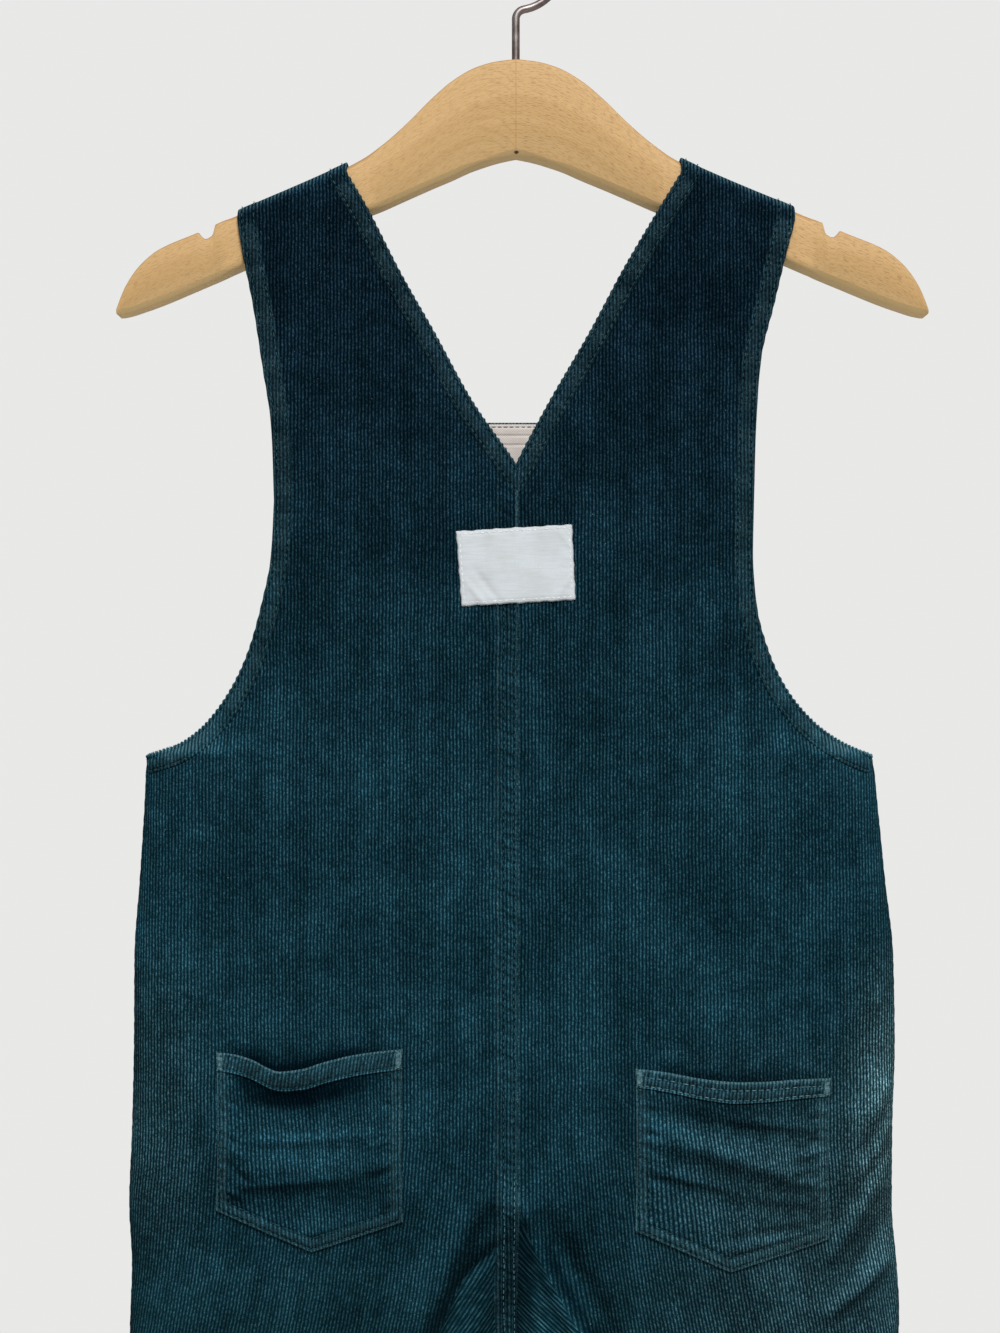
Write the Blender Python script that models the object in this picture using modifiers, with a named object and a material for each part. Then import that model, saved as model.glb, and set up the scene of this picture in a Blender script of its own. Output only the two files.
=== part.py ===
"""Child's corduroy dungarees hanging on a wooden hanger, seen from the back.

Millimetres in the tables, metres in the meshes. +Z is up, -Y is the side of the
garment's back, and the origin is the inside of the hook's top, where it rests.
"""
import math
from collections import namedtuple

import bmesh
import bpy
from mathutils import Vector
from mathutils.bvhtree import BVHTree

MM = 0.001

# Cloth
CLOTH = 1.6
SEAM_GAP = 0.3
HALF_GAP = SEAM_GAP / 2
HEM_WIDTH = 7.2
HEM_RAISE = 0.9
BAND_EASE = 0.8
LEG_HEM = 15.0

# Hanger and hook
WOOD_THICK = 14.0
WOOD_ROUND = 3.1
WIRE = 3.2
HOOK_RADIUS = 19.0
STEM_DEPTH = 18.0
STEM_HOLE = 1.95

# A strap's way over the hanger: its bend, its half depth and its length
OVER_BEND = WOOD_ROUND + SEAM_GAP + CLOTH
OVER_HALF = WOOD_THICK / 2 + SEAM_GAP + CLOTH
OVER_LIFT = (SEAM_GAP + CLOTH) * 1.08
OVER_LENGTH = math.pi * OVER_BEND + 2 * (OVER_HALF - OVER_BEND)
STRAP_ON_BIB = CLOTH + SEAM_GAP + 0.4
STRAP_LIFT_FROM = -137.0
STRAP_LIFT_OVER = 60.0

# Heights
BIB_TOP = -203.0
NECK_POINT = -221.0
UNDERARM = -338.6
CROTCH = -580.0
HEM = -875.0

SIDES = {"left": -1, "right": 1}

# The hanger's outline, from its middle out to a tip, for a reach of 160 mm
HANGER_REACH = 160.0
REACH = {"left": 160.8, "right": 166.0}
Wood = namedtuple("Wood", "x top bottom")
WOOD = (
    Wood(0.0, -57.8, -96.0),
    Wood(8.0, -58.8, -97.6),
    Wood(16.4, -61.3, -100.3),
    Wood(25.6, -66.7, -104.6),
    Wood(34.0, -74.0, -108.2),
    Wood(43.2, -83.3, -112.3),
    Wood(53.6, -92.5, -117.0),
    Wood(60.0, -96.8, -119.7),
    Wood(66.8, -100.6, -122.6),
    Wood(78.0, -105.9, -127.4),
    Wood(90.0, -111.2, -132.6),
    Wood(101.0, -115.9, -137.5),
    Wood(112.4, -120.8, -142.6),
    Wood(127.2, -127.6, -149.0),
    Wood(142.8, -134.4, -155.6),
    Wood(150.0, -140.2, -158.2),
    Wood(155.6, -147.8, -160.0),
    Wood(159.0, -155.4, -160.6),
    Wood(160.0, -158.6, -160.4),
)
NOTCH_X = 123.8
NOTCH_RADIUS = 2.9

# Edges of a back piece. Out is the armhole, then the side seam, and in is the neck,
# then the centre seam, then the inside leg.
Edge = namedtuple("Edge", "z_out left_out right_out z_in left_in right_in")
SHOULDER = Edge(-123.2, -111.6, 111.8, -103.2, -66.0, 66.2)
BACK_STRAP = (
    SHOULDER,
    Edge(-137.0, -109.4, 108.2, -118.0, -60.0, 58.0),
    Edge(-157.0, -105.4, 103.4, -143.8, -46.8, 42.8),
    Edge(-180.0, -101.8, 98.0, -167.8, -33.2, 30.0),
    Edge(-208.0, -97.8, 96.0, -196.5, -17.4, 13.4),
    Edge(-236.0, -96.8, 95.2, NECK_POINT, -HALF_GAP, HALF_GAP),
)
BACK_YOKE = (
    BACK_STRAP[-1],
    Edge(-257.8, -98.0, 94.8, -247.0, -HALF_GAP, HALF_GAP),
    Edge(-277.8, -102.0, 96.4, -270.0, -HALF_GAP, HALF_GAP),
    Edge(-297.8, -108.0, 102.0, -292.0, -HALF_GAP, HALF_GAP),
    Edge(-314.0, -116.2, 110.6, -312.0, -HALF_GAP, HALF_GAP),
    Edge(-327.8, -127.4, 123.6, -329.0, -HALF_GAP, HALF_GAP),
    Edge(-334.6, -137.2, 134.4, -340.0, -HALF_GAP, HALF_GAP),
    Edge(UNDERARM, -149.0, 143.8, -348.0, -HALF_GAP, HALF_GAP),
)
BODY = (
    BACK_YOKE[-1],
    Edge(-360.0, -150.2, 146.4, -366.0, -HALF_GAP, HALF_GAP),
    Edge(-388.0, -152.0, 149.2, -390.0, -HALF_GAP, HALF_GAP),
    Edge(-420.0, -154.2, 152.6, -420.0, -HALF_GAP, HALF_GAP),
    Edge(-455.0, -154.4, 153.2, -455.0, -HALF_GAP, HALF_GAP),
    Edge(-490.0, -155.2, 152.2, -490.0, -HALF_GAP, HALF_GAP),
    Edge(-520.0, -156.3, 152.0, -520.0, -HALF_GAP, HALF_GAP),
    Edge(-545.0, -155.2, 154.0, -545.0, -HALF_GAP, HALF_GAP),
    Edge(-563.0, -155.8, 155.0, -563.0, -HALF_GAP, HALF_GAP),
    Edge(CROTCH, -156.2, 154.6, CROTCH, -HALF_GAP, HALF_GAP),
)
LEG = (
    BODY[-1],
    Edge(-602.0, -156.0, 154.2, -602.0, -1.8, 2.0),
    Edge(-640.0, -154.4, 152.8, -640.0, -6.6, 7.0),
    Edge(-690.0, -152.0, 150.6, -690.0, -12.6, 13.2),
    Edge(-740.0, -149.8, 148.6, -740.0, -17.6, 18.4),
    Edge(-800.0, -147.4, 146.2, -800.0, -21.6, 22.0),
    Edge(HEM + LEG_HEM, -145.4, 144.4, HEM + LEG_HEM, -24.6, 24.6),
)
LEG_END = (
    LEG[-1],
    Edge(HEM, -145.2, 144.2, HEM, -25.0, 25.0),
)

# The strap's front stretch, from its end on the bib up to the hanger
FRONT_STRAP = (
    Edge(-238.5, -57.5, 57.5, -238.5, -34.5, 34.5),
    Edge(-236.0, -62.0, 62.0, -236.5, -29.5, 29.5),
    Edge(-228.0, -64.8, 64.8, -227.0, -28.6, 28.6),
    Edge(-200.0, -71.5, 71.5, -193.0, -34.5, 34.5),
    Edge(-165.0, -88.0, 88.0, -152.0, -48.0, 48.0),
    SHOULDER,
)
FRONT_YOKE = (
    Edge(BIB_TOP, -72.5, 71.5, BIB_TOP, -HALF_GAP, HALF_GAP),
    Edge(-212.0, -72.6, 71.6, -212.5, -HALF_GAP, HALF_GAP),
    Edge(-250.0, -75.6, 74.2, -254.0, -HALF_GAP, HALF_GAP),
    Edge(-275.0, -82.0, 80.0, -280.0, -HALF_GAP, HALF_GAP),
    Edge(-298.0, -92.0, 89.5, -304.0, -HALF_GAP, HALF_GAP),
    Edge(-316.0, -105.5, 101.5, -323.0, -HALF_GAP, HALF_GAP),
    Edge(-329.0, -122.0, 117.5, -336.0, -HALF_GAP, HALF_GAP),
    BACK_YOKE[-1],
)

# Distance of the cloth's face from the middle plane, at the middle and at the edge.
# Turn is 1 where the edge hangs free and 0.5 where the cloth turns round into a side seam.
Depth = namedtuple("Depth", "z back back_edge front front_edge turn")
DEPTHS = (
    Depth(-100.0, 8.9, 8.9, 8.9, 8.9, 1.0),
    Depth(-150.0, 9.2, 8.9, 9.0, 8.9, 1.0),
    Depth(-205.0, 11.2, 9.6, 9.6, 8.6, 1.0),
    Depth(-260.0, 13.0, 9.6, 11.4, 8.0, 1.0),
    Depth(-300.0, 14.0, 7.4, 12.8, 6.4, 1.0),
    Depth(-322.0, 14.5, 4.2, 13.6, 3.6, 0.9),
    Depth(-332.0, 14.8, 1.8, 13.8, 1.5, 0.7),
    Depth(UNDERARM, 15.0, HALF_GAP, 14.0, HALF_GAP, 0.5),
    Depth(-420.0, 16.4, HALF_GAP, 15.6, HALF_GAP, 0.5),
    Depth(-500.0, 18.0, HALF_GAP, 16.6, HALF_GAP, 0.5),
    Depth(-560.0, 17.4, HALF_GAP, 16.4, HALF_GAP, 0.5),
    Depth(-640.0, 16.4, HALF_GAP, 16.0, HALF_GAP, 0.5),
    Depth(HEM, 17.0, HALF_GAP, 16.4, HALF_GAP, 0.5),
)
CROTCH_START = -515.0
BODY_POWER = 5.0
LEG_POWER = 3.0

# Folds of the cloth: a line from one end to the other, positive where it stands out
Fold = namedtuple("Fold", "x0 z0 x1 z1 width rise")
BACK_FOLDS = (
    Fold(-9.0, -516.0, -40.0, -622.0, 5.5, -4.2),
    Fold(-22.0, -512.0, -58.0, -616.0, 9.0, 2.2),
    Fold(-1.0, -512.0, 46.0, -608.0, 5.0, 3.4),
    Fold(9.0, -518.0, 55.0, -620.0, 6.0, -4.6),
    Fold(-148.0, -404.0, -122.0, -506.0, 10.0, 1.6),
    Fold(-120.0, -540.0, -148.0, -612.0, 10.0, 2.0),
    Fold(148.0, -440.0, 124.0, -480.0, 8.0, -1.6),
    Fold(150.0, -466.0, 128.0, -514.0, 8.0, 2.0),
    Fold(-52.0, -640.0, -136.0, -668.0, 10.0, -2.6),
    Fold(-40.0, -684.0, -128.0, -700.0, 11.0, 2.4),
    Fold(-96.0, -750.0, -84.0, -868.0, 13.0, 2.6),
    Fold(48.0, -668.0, 128.0, -642.0, 10.0, 2.6),
    Fold(40.0, -708.0, 134.0, -692.0, 11.0, -2.4),
    Fold(98.0, -744.0, 82.0, -862.0, 13.0, -2.6),
)
FRONT_FOLDS = (
    Fold(-6.0, -514.0, -48.0, -612.0, 9.0, 3.0),
    Fold(8.0, -512.0, 52.0, -604.0, 9.0, 2.8),
    Fold(30.0, -536.0, 70.0, -618.0, 9.0, -2.6),
    Fold(-138.0, -424.0, -88.0, -472.0, 12.0, 2.0),
    Fold(136.0, -442.0, 92.0, -496.0, 12.0, -2.0),
    Fold(-46.0, -672.0, -132.0, -650.0, 11.0, 2.6),
    Fold(-50.0, -714.0, -124.0, -724.0, 11.0, -2.4),
    Fold(46.0, -650.0, 128.0, -678.0, 11.0, -2.6),
    Fold(54.0, -698.0, 130.0, -714.0, 11.0, 2.4),
    Fold(-98.0, -764.0, -84.0, -866.0, 13.0, -2.4),
    Fold(78.0, -758.0, 92.0, -864.0, 13.0, 2.5),
)

# Patch pockets: the height of each corner, and how far the top edge sags and gapes
Pocket = namedtuple("Pocket", "x_left x_right x_point top_left top_right low_left low_right point sag gape")
POCKETS = {
    "left": Pocket(-119.4, -45.0, -81.2, -456.8, -456.0, -519.0, -524.2, -537.0, 7.0, 4.4),
    "right": Pocket(47.2, 126.0, 87.4, -463.8, -467.2, -528.2, -532.4, -544.8, 3.0, 1.4),
}
POCKET_CLOTH = 1.5
POCKET_HEM = 7.4
POCKET_LIFT = 0.35

# Label: its corners, from the top left one, clockwise
LABEL = ((-24.0, -248.4), (22.4, -245.6), (23.8, -275.8), (-21.8, -278.4))
LABEL_THICK = 1.0

FACING_DEEP = 30.0
FACING_THICK = 1.0

BUTTON_RADIUS = 8.5
BUTTON_THICK = 3.0
BUTTON_HOLE = 0.95
BUTTON_PITCH = 2.1
BUTTON_PLACE = (46.5, -222.0)

# Places of the columns of points: distances from a piece's two edges, and between
# those, shares of what is left, closer together towards the centre seam
FROM_EDGE = (0.0, 0.9, 3.4, HEM_WIDTH, HEM_WIDTH + BAND_EASE)
MIDDLE_SHARES = {"back": (0.05, 0.11, 0.19, 0.28, 0.40, 0.57, 0.78), "front": (0.10, 0.23, 0.42, 0.70)}


def clear_scene():
    """Take away every object of the file that the script runs in."""
    for item in list(bpy.data.objects):
        bpy.data.objects.remove(item, do_unlink=True)


def new_collection(name, hidden=False):
    """Make a collection in the scene; a hidden one holds the cutters."""
    group = bpy.data.collections.new(name)
    bpy.context.scene.collection.children.link(group)
    group.hide_render = hidden
    return group


def new_material(name, color, roughness, metallic=0.0):
    """Make a plain Principled material."""
    material = bpy.data.materials.new(name)
    material.use_nodes = True
    shader = material.node_tree.nodes["Principled BSDF"]
    shader.inputs["Base Color"].default_value = (*color, 1.0)
    shader.inputs["Roughness"].default_value = roughness
    shader.inputs["Metallic"].default_value = metallic
    material.diffuse_color = (*color, 1.0)
    return material


def add_object(name, mesh, material, group):
    """Put a mesh in a collection as a named object."""
    item = bpy.data.objects.new(name, mesh)
    if material:
        mesh.materials.append(material)
    group.objects.link(item)
    return item


def clamp(value, low=0.0, high=1.0):
    return max(low, min(high, value))


def ease(value):
    """Go smoothly from 0 to 1."""
    value = clamp(value)
    return value * value * (3 - 2 * value)


def mix(a, b, share):
    return a + (b - a) * share


def straight(places, values, place):
    """Read a line of straight stretches through three values."""
    k = 0 if place < places[1] else 1
    return mix(values[k], values[k + 1], (place - places[k]) / (places[k + 1] - places[k]))


def through(places, values, place):
    """Read a smooth curve through values, which never overshoots them."""
    rising = places[-1] > places[0]
    count = len(places)
    k = 0
    while k < count - 2 and ((place > places[k + 1]) == rising) and place != places[k + 1]:
        k += 1
    slopes = [(values[i + 1] - values[i]) / (places[i + 1] - places[i]) for i in range(count - 1)]

    def tangent(i):
        if i == 0 or i == count - 1:
            return slopes[min(i, count - 2)]
        before, after = slopes[i - 1], slopes[i]
        if before * after <= 0:
            return 0.0
        return 2 * before * after / (before + after)

    span = places[k + 1] - places[k]
    t = clamp((place - places[k]) / span)
    a, b = values[k], values[k + 1]
    return ((2 * t ** 3 - 3 * t ** 2 + 1) * a + (t ** 3 - 2 * t ** 2 + t) * span * tangent(k)
            + (3 * t ** 2 - 2 * t ** 3) * b + (t ** 3 - t ** 2) * span * tangent(k + 1))


def read_edge(run, side, share):
    """Return the two ends of a row, out and in, at a share of a run of edge rows."""
    places = list(range(len(run)))
    place = share * (len(run) - 1)
    names = ("z_out", side + "_out", "z_in", side + "_in")
    columns_of_run = [[getattr(row, name) for row in run] for name in names]
    z_out, x_out, z_in, x_in = (through(places, values, place) for values in columns_of_run)
    return (x_out, z_out), (x_in, z_in)


def outline_x(z, side, face, end):
    """The x of a piece's outer or inner edge at a height."""
    upper = BACK_STRAP + BACK_YOKE[1:] if face == "back" else FRONT_YOKE
    rows = upper + BODY[1:] + LEG[1:] + LEG_END[1:]
    places = [getattr(row, "z_" + end) for row in rows]
    return through(places, [getattr(row, side + "_" + end) for row in rows], z)


def wood_top(x):
    """Height of the hanger's top line at a distance x from its middle."""
    side = "left" if x < 0 else "right"
    reach = abs(x) * HANGER_REACH / REACH[side]
    return through([w.x for w in WOOD], [w.top for w in WOOD], reach)


def depth_at(z, name):
    """Read one column of the depths at a height."""
    return through([d.z for d in DEPTHS], [getattr(d, name) for d in DEPTHS], z)


def relief(folds, x, z):
    """Height of the folds at a place of the cloth."""
    total = 0.0
    for fold in folds:
        along = Vector((fold.x1 - fold.x0, fold.z1 - fold.z0))
        place = Vector((x - fold.x0, z - fold.z0))
        share = place.dot(along) / along.length_squared
        if not 0 < share < 1:
            continue
        across = (place - along * share).length / fold.width
        total += fold.rise * math.sin(math.pi * share) ** 0.7 * math.exp(-across * across)
    return total


def cloth_depth(x, z, side, face):
    """Distance of the cloth's outer face from the middle plane at x and z."""
    middle = depth_at(z, face)
    edge = depth_at(z, face + "_edge")
    x_out = outline_x(z, side, face, "out")
    body = (1 - min(abs(x / x_out), 1.0) ** BODY_POWER) ** depth_at(z, "turn")
    legs = ease((CROTCH_START - z) / (CROTCH_START - CROTCH))
    if legs > 0:
        x_in = outline_x(z, side, face, "in")
        centre = (x_out + x_in) / 2
        half = abs(x_out - x_in) / 2
        leg = (1 - min(abs(x - centre) / half, 1.0) ** LEG_POWER) ** mix(1.0, 0.5, legs)
        body = mix(body, leg, legs)
    folds = BACK_FOLDS if face == "back" else FRONT_FOLDS
    return edge + (middle - edge) * body + relief(folds, x, z) * min(1.0, 3 * body)


def shoulder_line(x):
    """Height at which a strap starts to bend over the hanger."""
    return wood_top(x) + OVER_LIFT - OVER_BEND


def cloth_point(x, s, side, face):
    """Point of the cloth's outer face. On the back, s goes on as a length over the hanger."""
    over = s - shoulder_line(x)
    if face == "front" or over <= 0:
        toward = -1 if face == "back" else 1
        return Vector((x, toward * cloth_depth(x, s, side, face), s))
    half_flat = OVER_HALF - OVER_BEND
    quarter = math.pi / 2 * OVER_BEND
    from_top = over - OVER_LENGTH / 2
    toward = math.copysign(1, from_top)
    height = s - over
    if abs(from_top) <= half_flat:
        return Vector((x, from_top, height + OVER_BEND))
    bent = (abs(from_top) - half_flat) / OVER_BEND
    if abs(from_top) <= half_flat + quarter:
        out = half_flat + OVER_BEND * math.sin(bent)
        return Vector((x, toward * out, height + OVER_BEND * math.cos(bent)))
    z = height - (over - OVER_LENGTH)
    on_bib = STRAP_ON_BIB * ease((STRAP_LIFT_FROM - z) / STRAP_LIFT_OVER)
    return Vector((x, depth_at(z, "front") + on_bib, z))


def columns(width, face):
    """Distances of a row's points from its inner end, closer together near both edges."""
    shares = MIDDLE_SHARES[face]
    shrink = min(1.0, width / (2 * FROM_EDGE[-1] + 2 * (len(shares) + 1)))
    near = [place * shrink for place in FROM_EDGE]
    middle = [mix(near[-1], width - near[-1], share) for share in shares]
    return near + middle + [width - place for place in reversed(near)]


def cloth_row(ends, side, face, over=0.0, front_strap=False):
    """Points of one row of a piece; over is how far past the shoulder it lies."""
    (x_out, z_out), (x_in, z_in) = ends
    width = abs(x_out - x_in)
    points = []
    for place in columns(width, face):
        x = mix(x_in, x_out, place / width)
        s = mix(z_in, z_out, place / width)
        if front_strap:
            s = 2 * shoulder_line(x) + OVER_LENGTH - s
        elif over:
            s = shoulder_line(x) + over
        points.append(cloth_point(x, s, side, face))
    return points


def shoulder_rows(side):
    """Rows that take the strap over the hanger, from its front face to its back face."""
    ends = read_edge((SHOULDER, SHOULDER), side, 0)
    quarter = math.pi / 2 * OVER_BEND
    bends = [quarter * i / 3 for i in range(4)]
    steps = bends + [OVER_LENGTH - step for step in reversed(bends)]
    return [cloth_row(ends, side, "back", over=step) for step in reversed(steps)]


def grid_normals(rows, outward, fixed):
    """Outward directions of a grid of points; fixed gives them where two pieces meet."""
    count, wide = len(rows), len(rows[0])
    normals = []
    for r in range(count):
        line = []
        for c in range(wide):
            down = rows[min(r + 1, count - 1)][c] - rows[max(r - 1, 0)][c]
            across = rows[r][min(c + 1, wide - 1)] - rows[r][max(c - 1, 0)]
            normal = across.cross(down) * outward
            line.append(fixed.get((r, c)) or normal.normalized())
        normals.append(line)
    return normals


def wall_mesh(name, outer, inner):
    """Closed wall between an outer and an inner grid of points."""
    mesh = bpy.data.meshes.new(name)
    bm = bmesh.new()
    top, low = ([[bm.verts.new(p * MM) for p in row] for row in grid] for grid in (outer, inner))
    count, wide = len(outer), len(outer[0])
    for r in range(count - 1):
        for c in range(wide - 1):
            bm.faces.new((top[r][c], top[r][c + 1], top[r + 1][c + 1], top[r + 1][c]))
            bm.faces.new((low[r][c], low[r + 1][c], low[r + 1][c + 1], low[r][c + 1]))
    rim = [(0, c) for c in range(wide)] + [(r, wide - 1) for r in range(1, count)]
    rim += [(count - 1, c) for c in range(wide - 2, -1, -1)] + [(r, 0) for r in range(count - 2, 0, -1)]
    for (r0, c0), (r1, c1) in zip(rim, rim[1:] + rim[:1]):
        bm.faces.new((top[r1][c1], top[r0][c0], low[r0][c0], low[r1][c1]))
    if bm.calc_volume(signed=True) < 0:
        bmesh.ops.reverse_faces(bm, faces=bm.faces)
    bm.to_mesh(mesh)
    bm.free()
    mesh.shade_smooth()
    mesh.set_sharp_from_angle(angle=math.radians(40))
    return mesh


def cloth_wall(name, rows, outward, fixed, raised, material, group, thick=CLOTH):
    """Cloth piece: its outer points are moved out where a hem or seam is doubled."""
    normals = grid_normals(rows, outward, fixed)
    inner = [[p - n * thick for p, n in zip(*pair)] for pair in zip(rows, normals)]
    outer = []
    for r, row in enumerate(rows):
        outer.append([p + normals[r][c] * raised(r, c) for c, p in enumerate(row)])
    return add_object(name, wall_mesh(name, outer, inner), material, group), outer


def run_rows(run, side, count, face, last=False):
    """Rows of points along one run of edges, without its last row unless asked for."""
    stop = count + 1 if last else count
    return [cloth_row(read_edge(run, side, i / count), side, face) for i in range(stop)]


def seam_normals(rows, start, crotch_row, side, face):
    """Directions at the side, centre and inside leg seams, where the next piece begins."""
    sign = SIDES[side]
    toward = -1 if face == "back" else 1
    last = len(rows[0]) - 1
    fixed = {}
    for r in range(start, len(rows)):
        fixed[(r, last)] = Vector((sign, 0, 0))
        if r >= crotch_row:
            fixed[(r, 0)] = Vector((-sign, 0, 0))
    for r, row in enumerate(rows[:crotch_row]):
        if abs(row[0].x) < SEAM_GAP:
            turn = ease((CROTCH_START - row[0].z) / (CROTCH_START - CROTCH)) * math.pi / 2
            fixed[(r, 0)] = Vector((-sign * math.sin(turn), toward * math.cos(turn), 0))
    return fixed


def build_back(side, materials, group):
    """One back piece, with its strap over the hanger."""
    strap = [cloth_row(read_edge(FRONT_STRAP, side, i / 6), side, "back", front_strap=True) for i in range(6)]
    over = shoulder_rows(side)
    back = run_rows(BACK_STRAP, side, 8, "back")[1:]
    yoke = run_rows(BACK_YOKE, side, 9, "back")
    body = run_rows(BODY, side, 18, "back")
    leg = run_rows(LEG, side, 12, "back") + run_rows(LEG_END, side, 1, "back", last=True)
    rows = strap + over + back + yoke + body + leg
    neck_row = len(strap + over + back)
    body_row = neck_row + len(yoke)
    crotch_row = body_row + len(body)
    last = len(rows[0]) - 1
    band = range(len(FROM_EDGE) - 1)

    def raised(r, c):
        if r >= len(rows) - 2:
            return HEM_RAISE
        free_out = r < body_row and last - c in band
        free_in = r < neck_row and c in band
        felled = r >= neck_row and rows[r][0].z > CROTCH_START and c in band and side == "left"
        strap_end = r < 2
        return HEM_RAISE if free_out or free_in or felled or strap_end else 0.0

    fixed = seam_normals(rows, body_row, crotch_row, side, "back")
    return cloth_wall("back_" + side, rows, -SIDES[side], fixed, raised, materials["cloth"], group)


def build_front(side, materials, group):
    """One front piece, from the bib's top edge to the hem."""
    yoke = run_rows(FRONT_YOKE, side, 9, "front")
    body = run_rows(BODY, side, 12, "front")
    leg = run_rows(LEG, side, 10, "front") + run_rows(LEG_END, side, 1, "front", last=True)
    rows = yoke + body + leg
    body_row = len(yoke)
    crotch_row = body_row + len(body)
    last = len(rows[0]) - 1
    band = range(len(FROM_EDGE) - 1)

    def raised(r, c):
        doubled = r >= len(rows) - 2 or (r < body_row and last - c in band)
        return HEM_RAISE if doubled else 0.0

    fixed = seam_normals(rows, body_row, crotch_row, side, "front")
    return cloth_wall("front_" + side, rows, SIDES[side], fixed, raised, materials["cloth"], group)


def surface_reader(grids, toward):
    """Return a function that reads the y of laid out cloth at x and z, seen along y."""
    trees = []
    for rows in grids:
        wide = len(rows[0])
        points = [p for row in rows for p in row]
        faces = []
        for r in range(len(rows) - 1):
            for c in range(wide - 1):
                a = r * wide + c
                faces.append((a, a + 1, a + wide + 1))
                faces.append((a, a + wide + 1, a + wide))
        trees.append(BVHTree.FromPolygons(points, faces))

    def read(x, z):
        found = []
        for aside in (0, SEAM_GAP):
            start = Vector((x + aside, toward * 100, z))
            hits = [tree.ray_cast(start, Vector((0, -toward, 0)))[0] for tree in trees]
            found += [toward * hit.y for hit in hits if hit]
        return toward * max(found)

    return read


def build_pocket(side, read, materials, group):
    """Patch pocket laid on a back piece; its top edge sags and gapes."""
    pocket = POCKETS[side]
    wide, tall = 12, 9
    hem_share = POCKET_HEM / (pocket.top_left - pocket.low_left)
    shares = [0.0, hem_share, hem_share * 1.12]
    shares += [mix(shares[-1], 1.0, (i + 1) / (tall - 3)) for i in range(tall - 3)]
    outer, inner = [], []
    for share in shares:
        outer_row, inner_row = [], []
        for i in range(wide + 1):
            across = i / wide
            x = mix(pocket.x_left, pocket.x_right, across)
            top = mix(pocket.top_left, pocket.top_right, across)
            top -= pocket.sag * math.sin(math.pi * clamp(across * 1.25)) ** 2
            corners = (pocket.x_left, pocket.x_point, pocket.x_right)
            low = straight(corners, (pocket.low_left, pocket.point, pocket.low_right), x)
            z = mix(top, low, share)
            gape = pocket.gape * math.sin(math.pi * across) ** 2 * (1 - ease(share * 2.6))
            y = read(x, z) - POCKET_LIFT - gape
            raise_hem = HEM_RAISE if share <= hem_share else 0.0
            inner_row.append(Vector((x, y, z)))
            outer_row.append(Vector((x, y - POCKET_CLOTH - raise_hem, z)))
        outer.append(outer_row)
        inner.append(inner_row)
    name = "pocket_" + side
    return add_object(name, wall_mesh(name, outer, inner), materials["cloth"], group)


def build_label(read, materials, group):
    """Blank cotton label across the centre back seam."""
    top_left, top_right, low_right, low_left = LABEL
    wide, tall = 8, 5
    outer, inner = [], []
    for j in range(tall + 1):
        down = j / tall
        outer_row, inner_row = [], []
        for i in range(wide + 1):
            across = i / wide
            x = mix(mix(top_left[0], top_right[0], across), mix(low_left[0], low_right[0], across), down)
            z = mix(mix(top_left[1], top_right[1], across), mix(low_left[1], low_right[1], across), down)
            inner_row.append(Vector((x, 0, z)))
            outer_row.append(Vector((x, 0, z)))
        outer.append(outer_row)
        inner.append(inner_row)
    for low_row, high_row in zip(inner, outer):
        for low, high in zip(low_row, high_row):
            nearby = [read(low.x + dx, low.z + dz) for dx in (-5, 0, 5) for dz in (-3, 0, 3)]
            low.y = min(nearby) - SEAM_GAP
            high.y = low.y - LABEL_THICK
    return add_object("label", wall_mesh("label", outer, inner), materials["label"], group)


def build_facing(materials, group):
    """Strip inside the bib, along its top edge, in one piece across the centre."""
    outer, inner = [], []
    for j in range(4):
        z = BIB_TOP - 0.4 - FACING_DEEP * j / 3
        outer_row, inner_row = [], []
        ends = []
        for side in SIDES:
            ends.append(outline_x(z, side, "front", "out"))
        for i in range(17):
            x = mix(ends[0] + 3, ends[1] - 3, i / 16)
            side = "left" if x < 0 else "right"
            y = cloth_depth(x, z, side, "front") - CLOTH - SEAM_GAP - 0.1
            inner_row.append(Vector((x, y, z)))
            outer_row.append(Vector((x, y - FACING_THICK, z)))
        outer.append(outer_row)
        inner.append(inner_row)
    return add_object("bib_facing", wall_mesh("bib_facing", outer, inner), materials["facing"], group)


def mesh_from_curve(curve_object, name, material, group):
    """Turn a curve into a mesh with its caps welded on."""
    view = bpy.context.evaluated_depsgraph_get()
    mesh = bpy.data.meshes.new_from_object(curve_object.evaluated_get(view))
    bm = bmesh.new()
    bm.from_mesh(mesh)
    bmesh.ops.remove_doubles(bm, verts=bm.verts, dist=0.00001)
    bmesh.ops.recalc_face_normals(bm, faces=bm.faces)
    bm.to_mesh(mesh)
    bm.free()
    mesh.name = name
    mesh.materials.clear()
    bpy.data.objects.remove(curve_object, do_unlink=True)
    item = add_object(name, mesh, material, group)
    mesh.shade_smooth()
    mesh.set_sharp_from_angle(angle=math.radians(50))
    return item


def hook_path():
    """Middle line of the hook's wire, from inside the wood up and round to its end."""
    centre = -(HOOK_RADIUS - WIRE / 2)
    join = math.radians(80)
    bend = HOOK_RADIUS * math.cos(join) / (1 - math.cos(join))
    start = centre - HOOK_RADIUS * math.sin(join) - bend * math.sin(join)
    points = [(0.0, WOOD[0].top - STEM_DEPTH), (0.0, WOOD[0].top), (0.0, mix(WOOD[0].top, start, 0.5))]
    for i in range(6):
        angle = join * i / 5
        points.append((bend * (1 - math.cos(angle)), start + bend * math.sin(angle)))
    turns = 26
    for i in range(1, turns + 1):
        angle = mix(-join, math.radians(205), i / turns)
        points.append((HOOK_RADIUS * math.cos(angle), centre + HOOK_RADIUS * math.sin(angle)))
    return points


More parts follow.
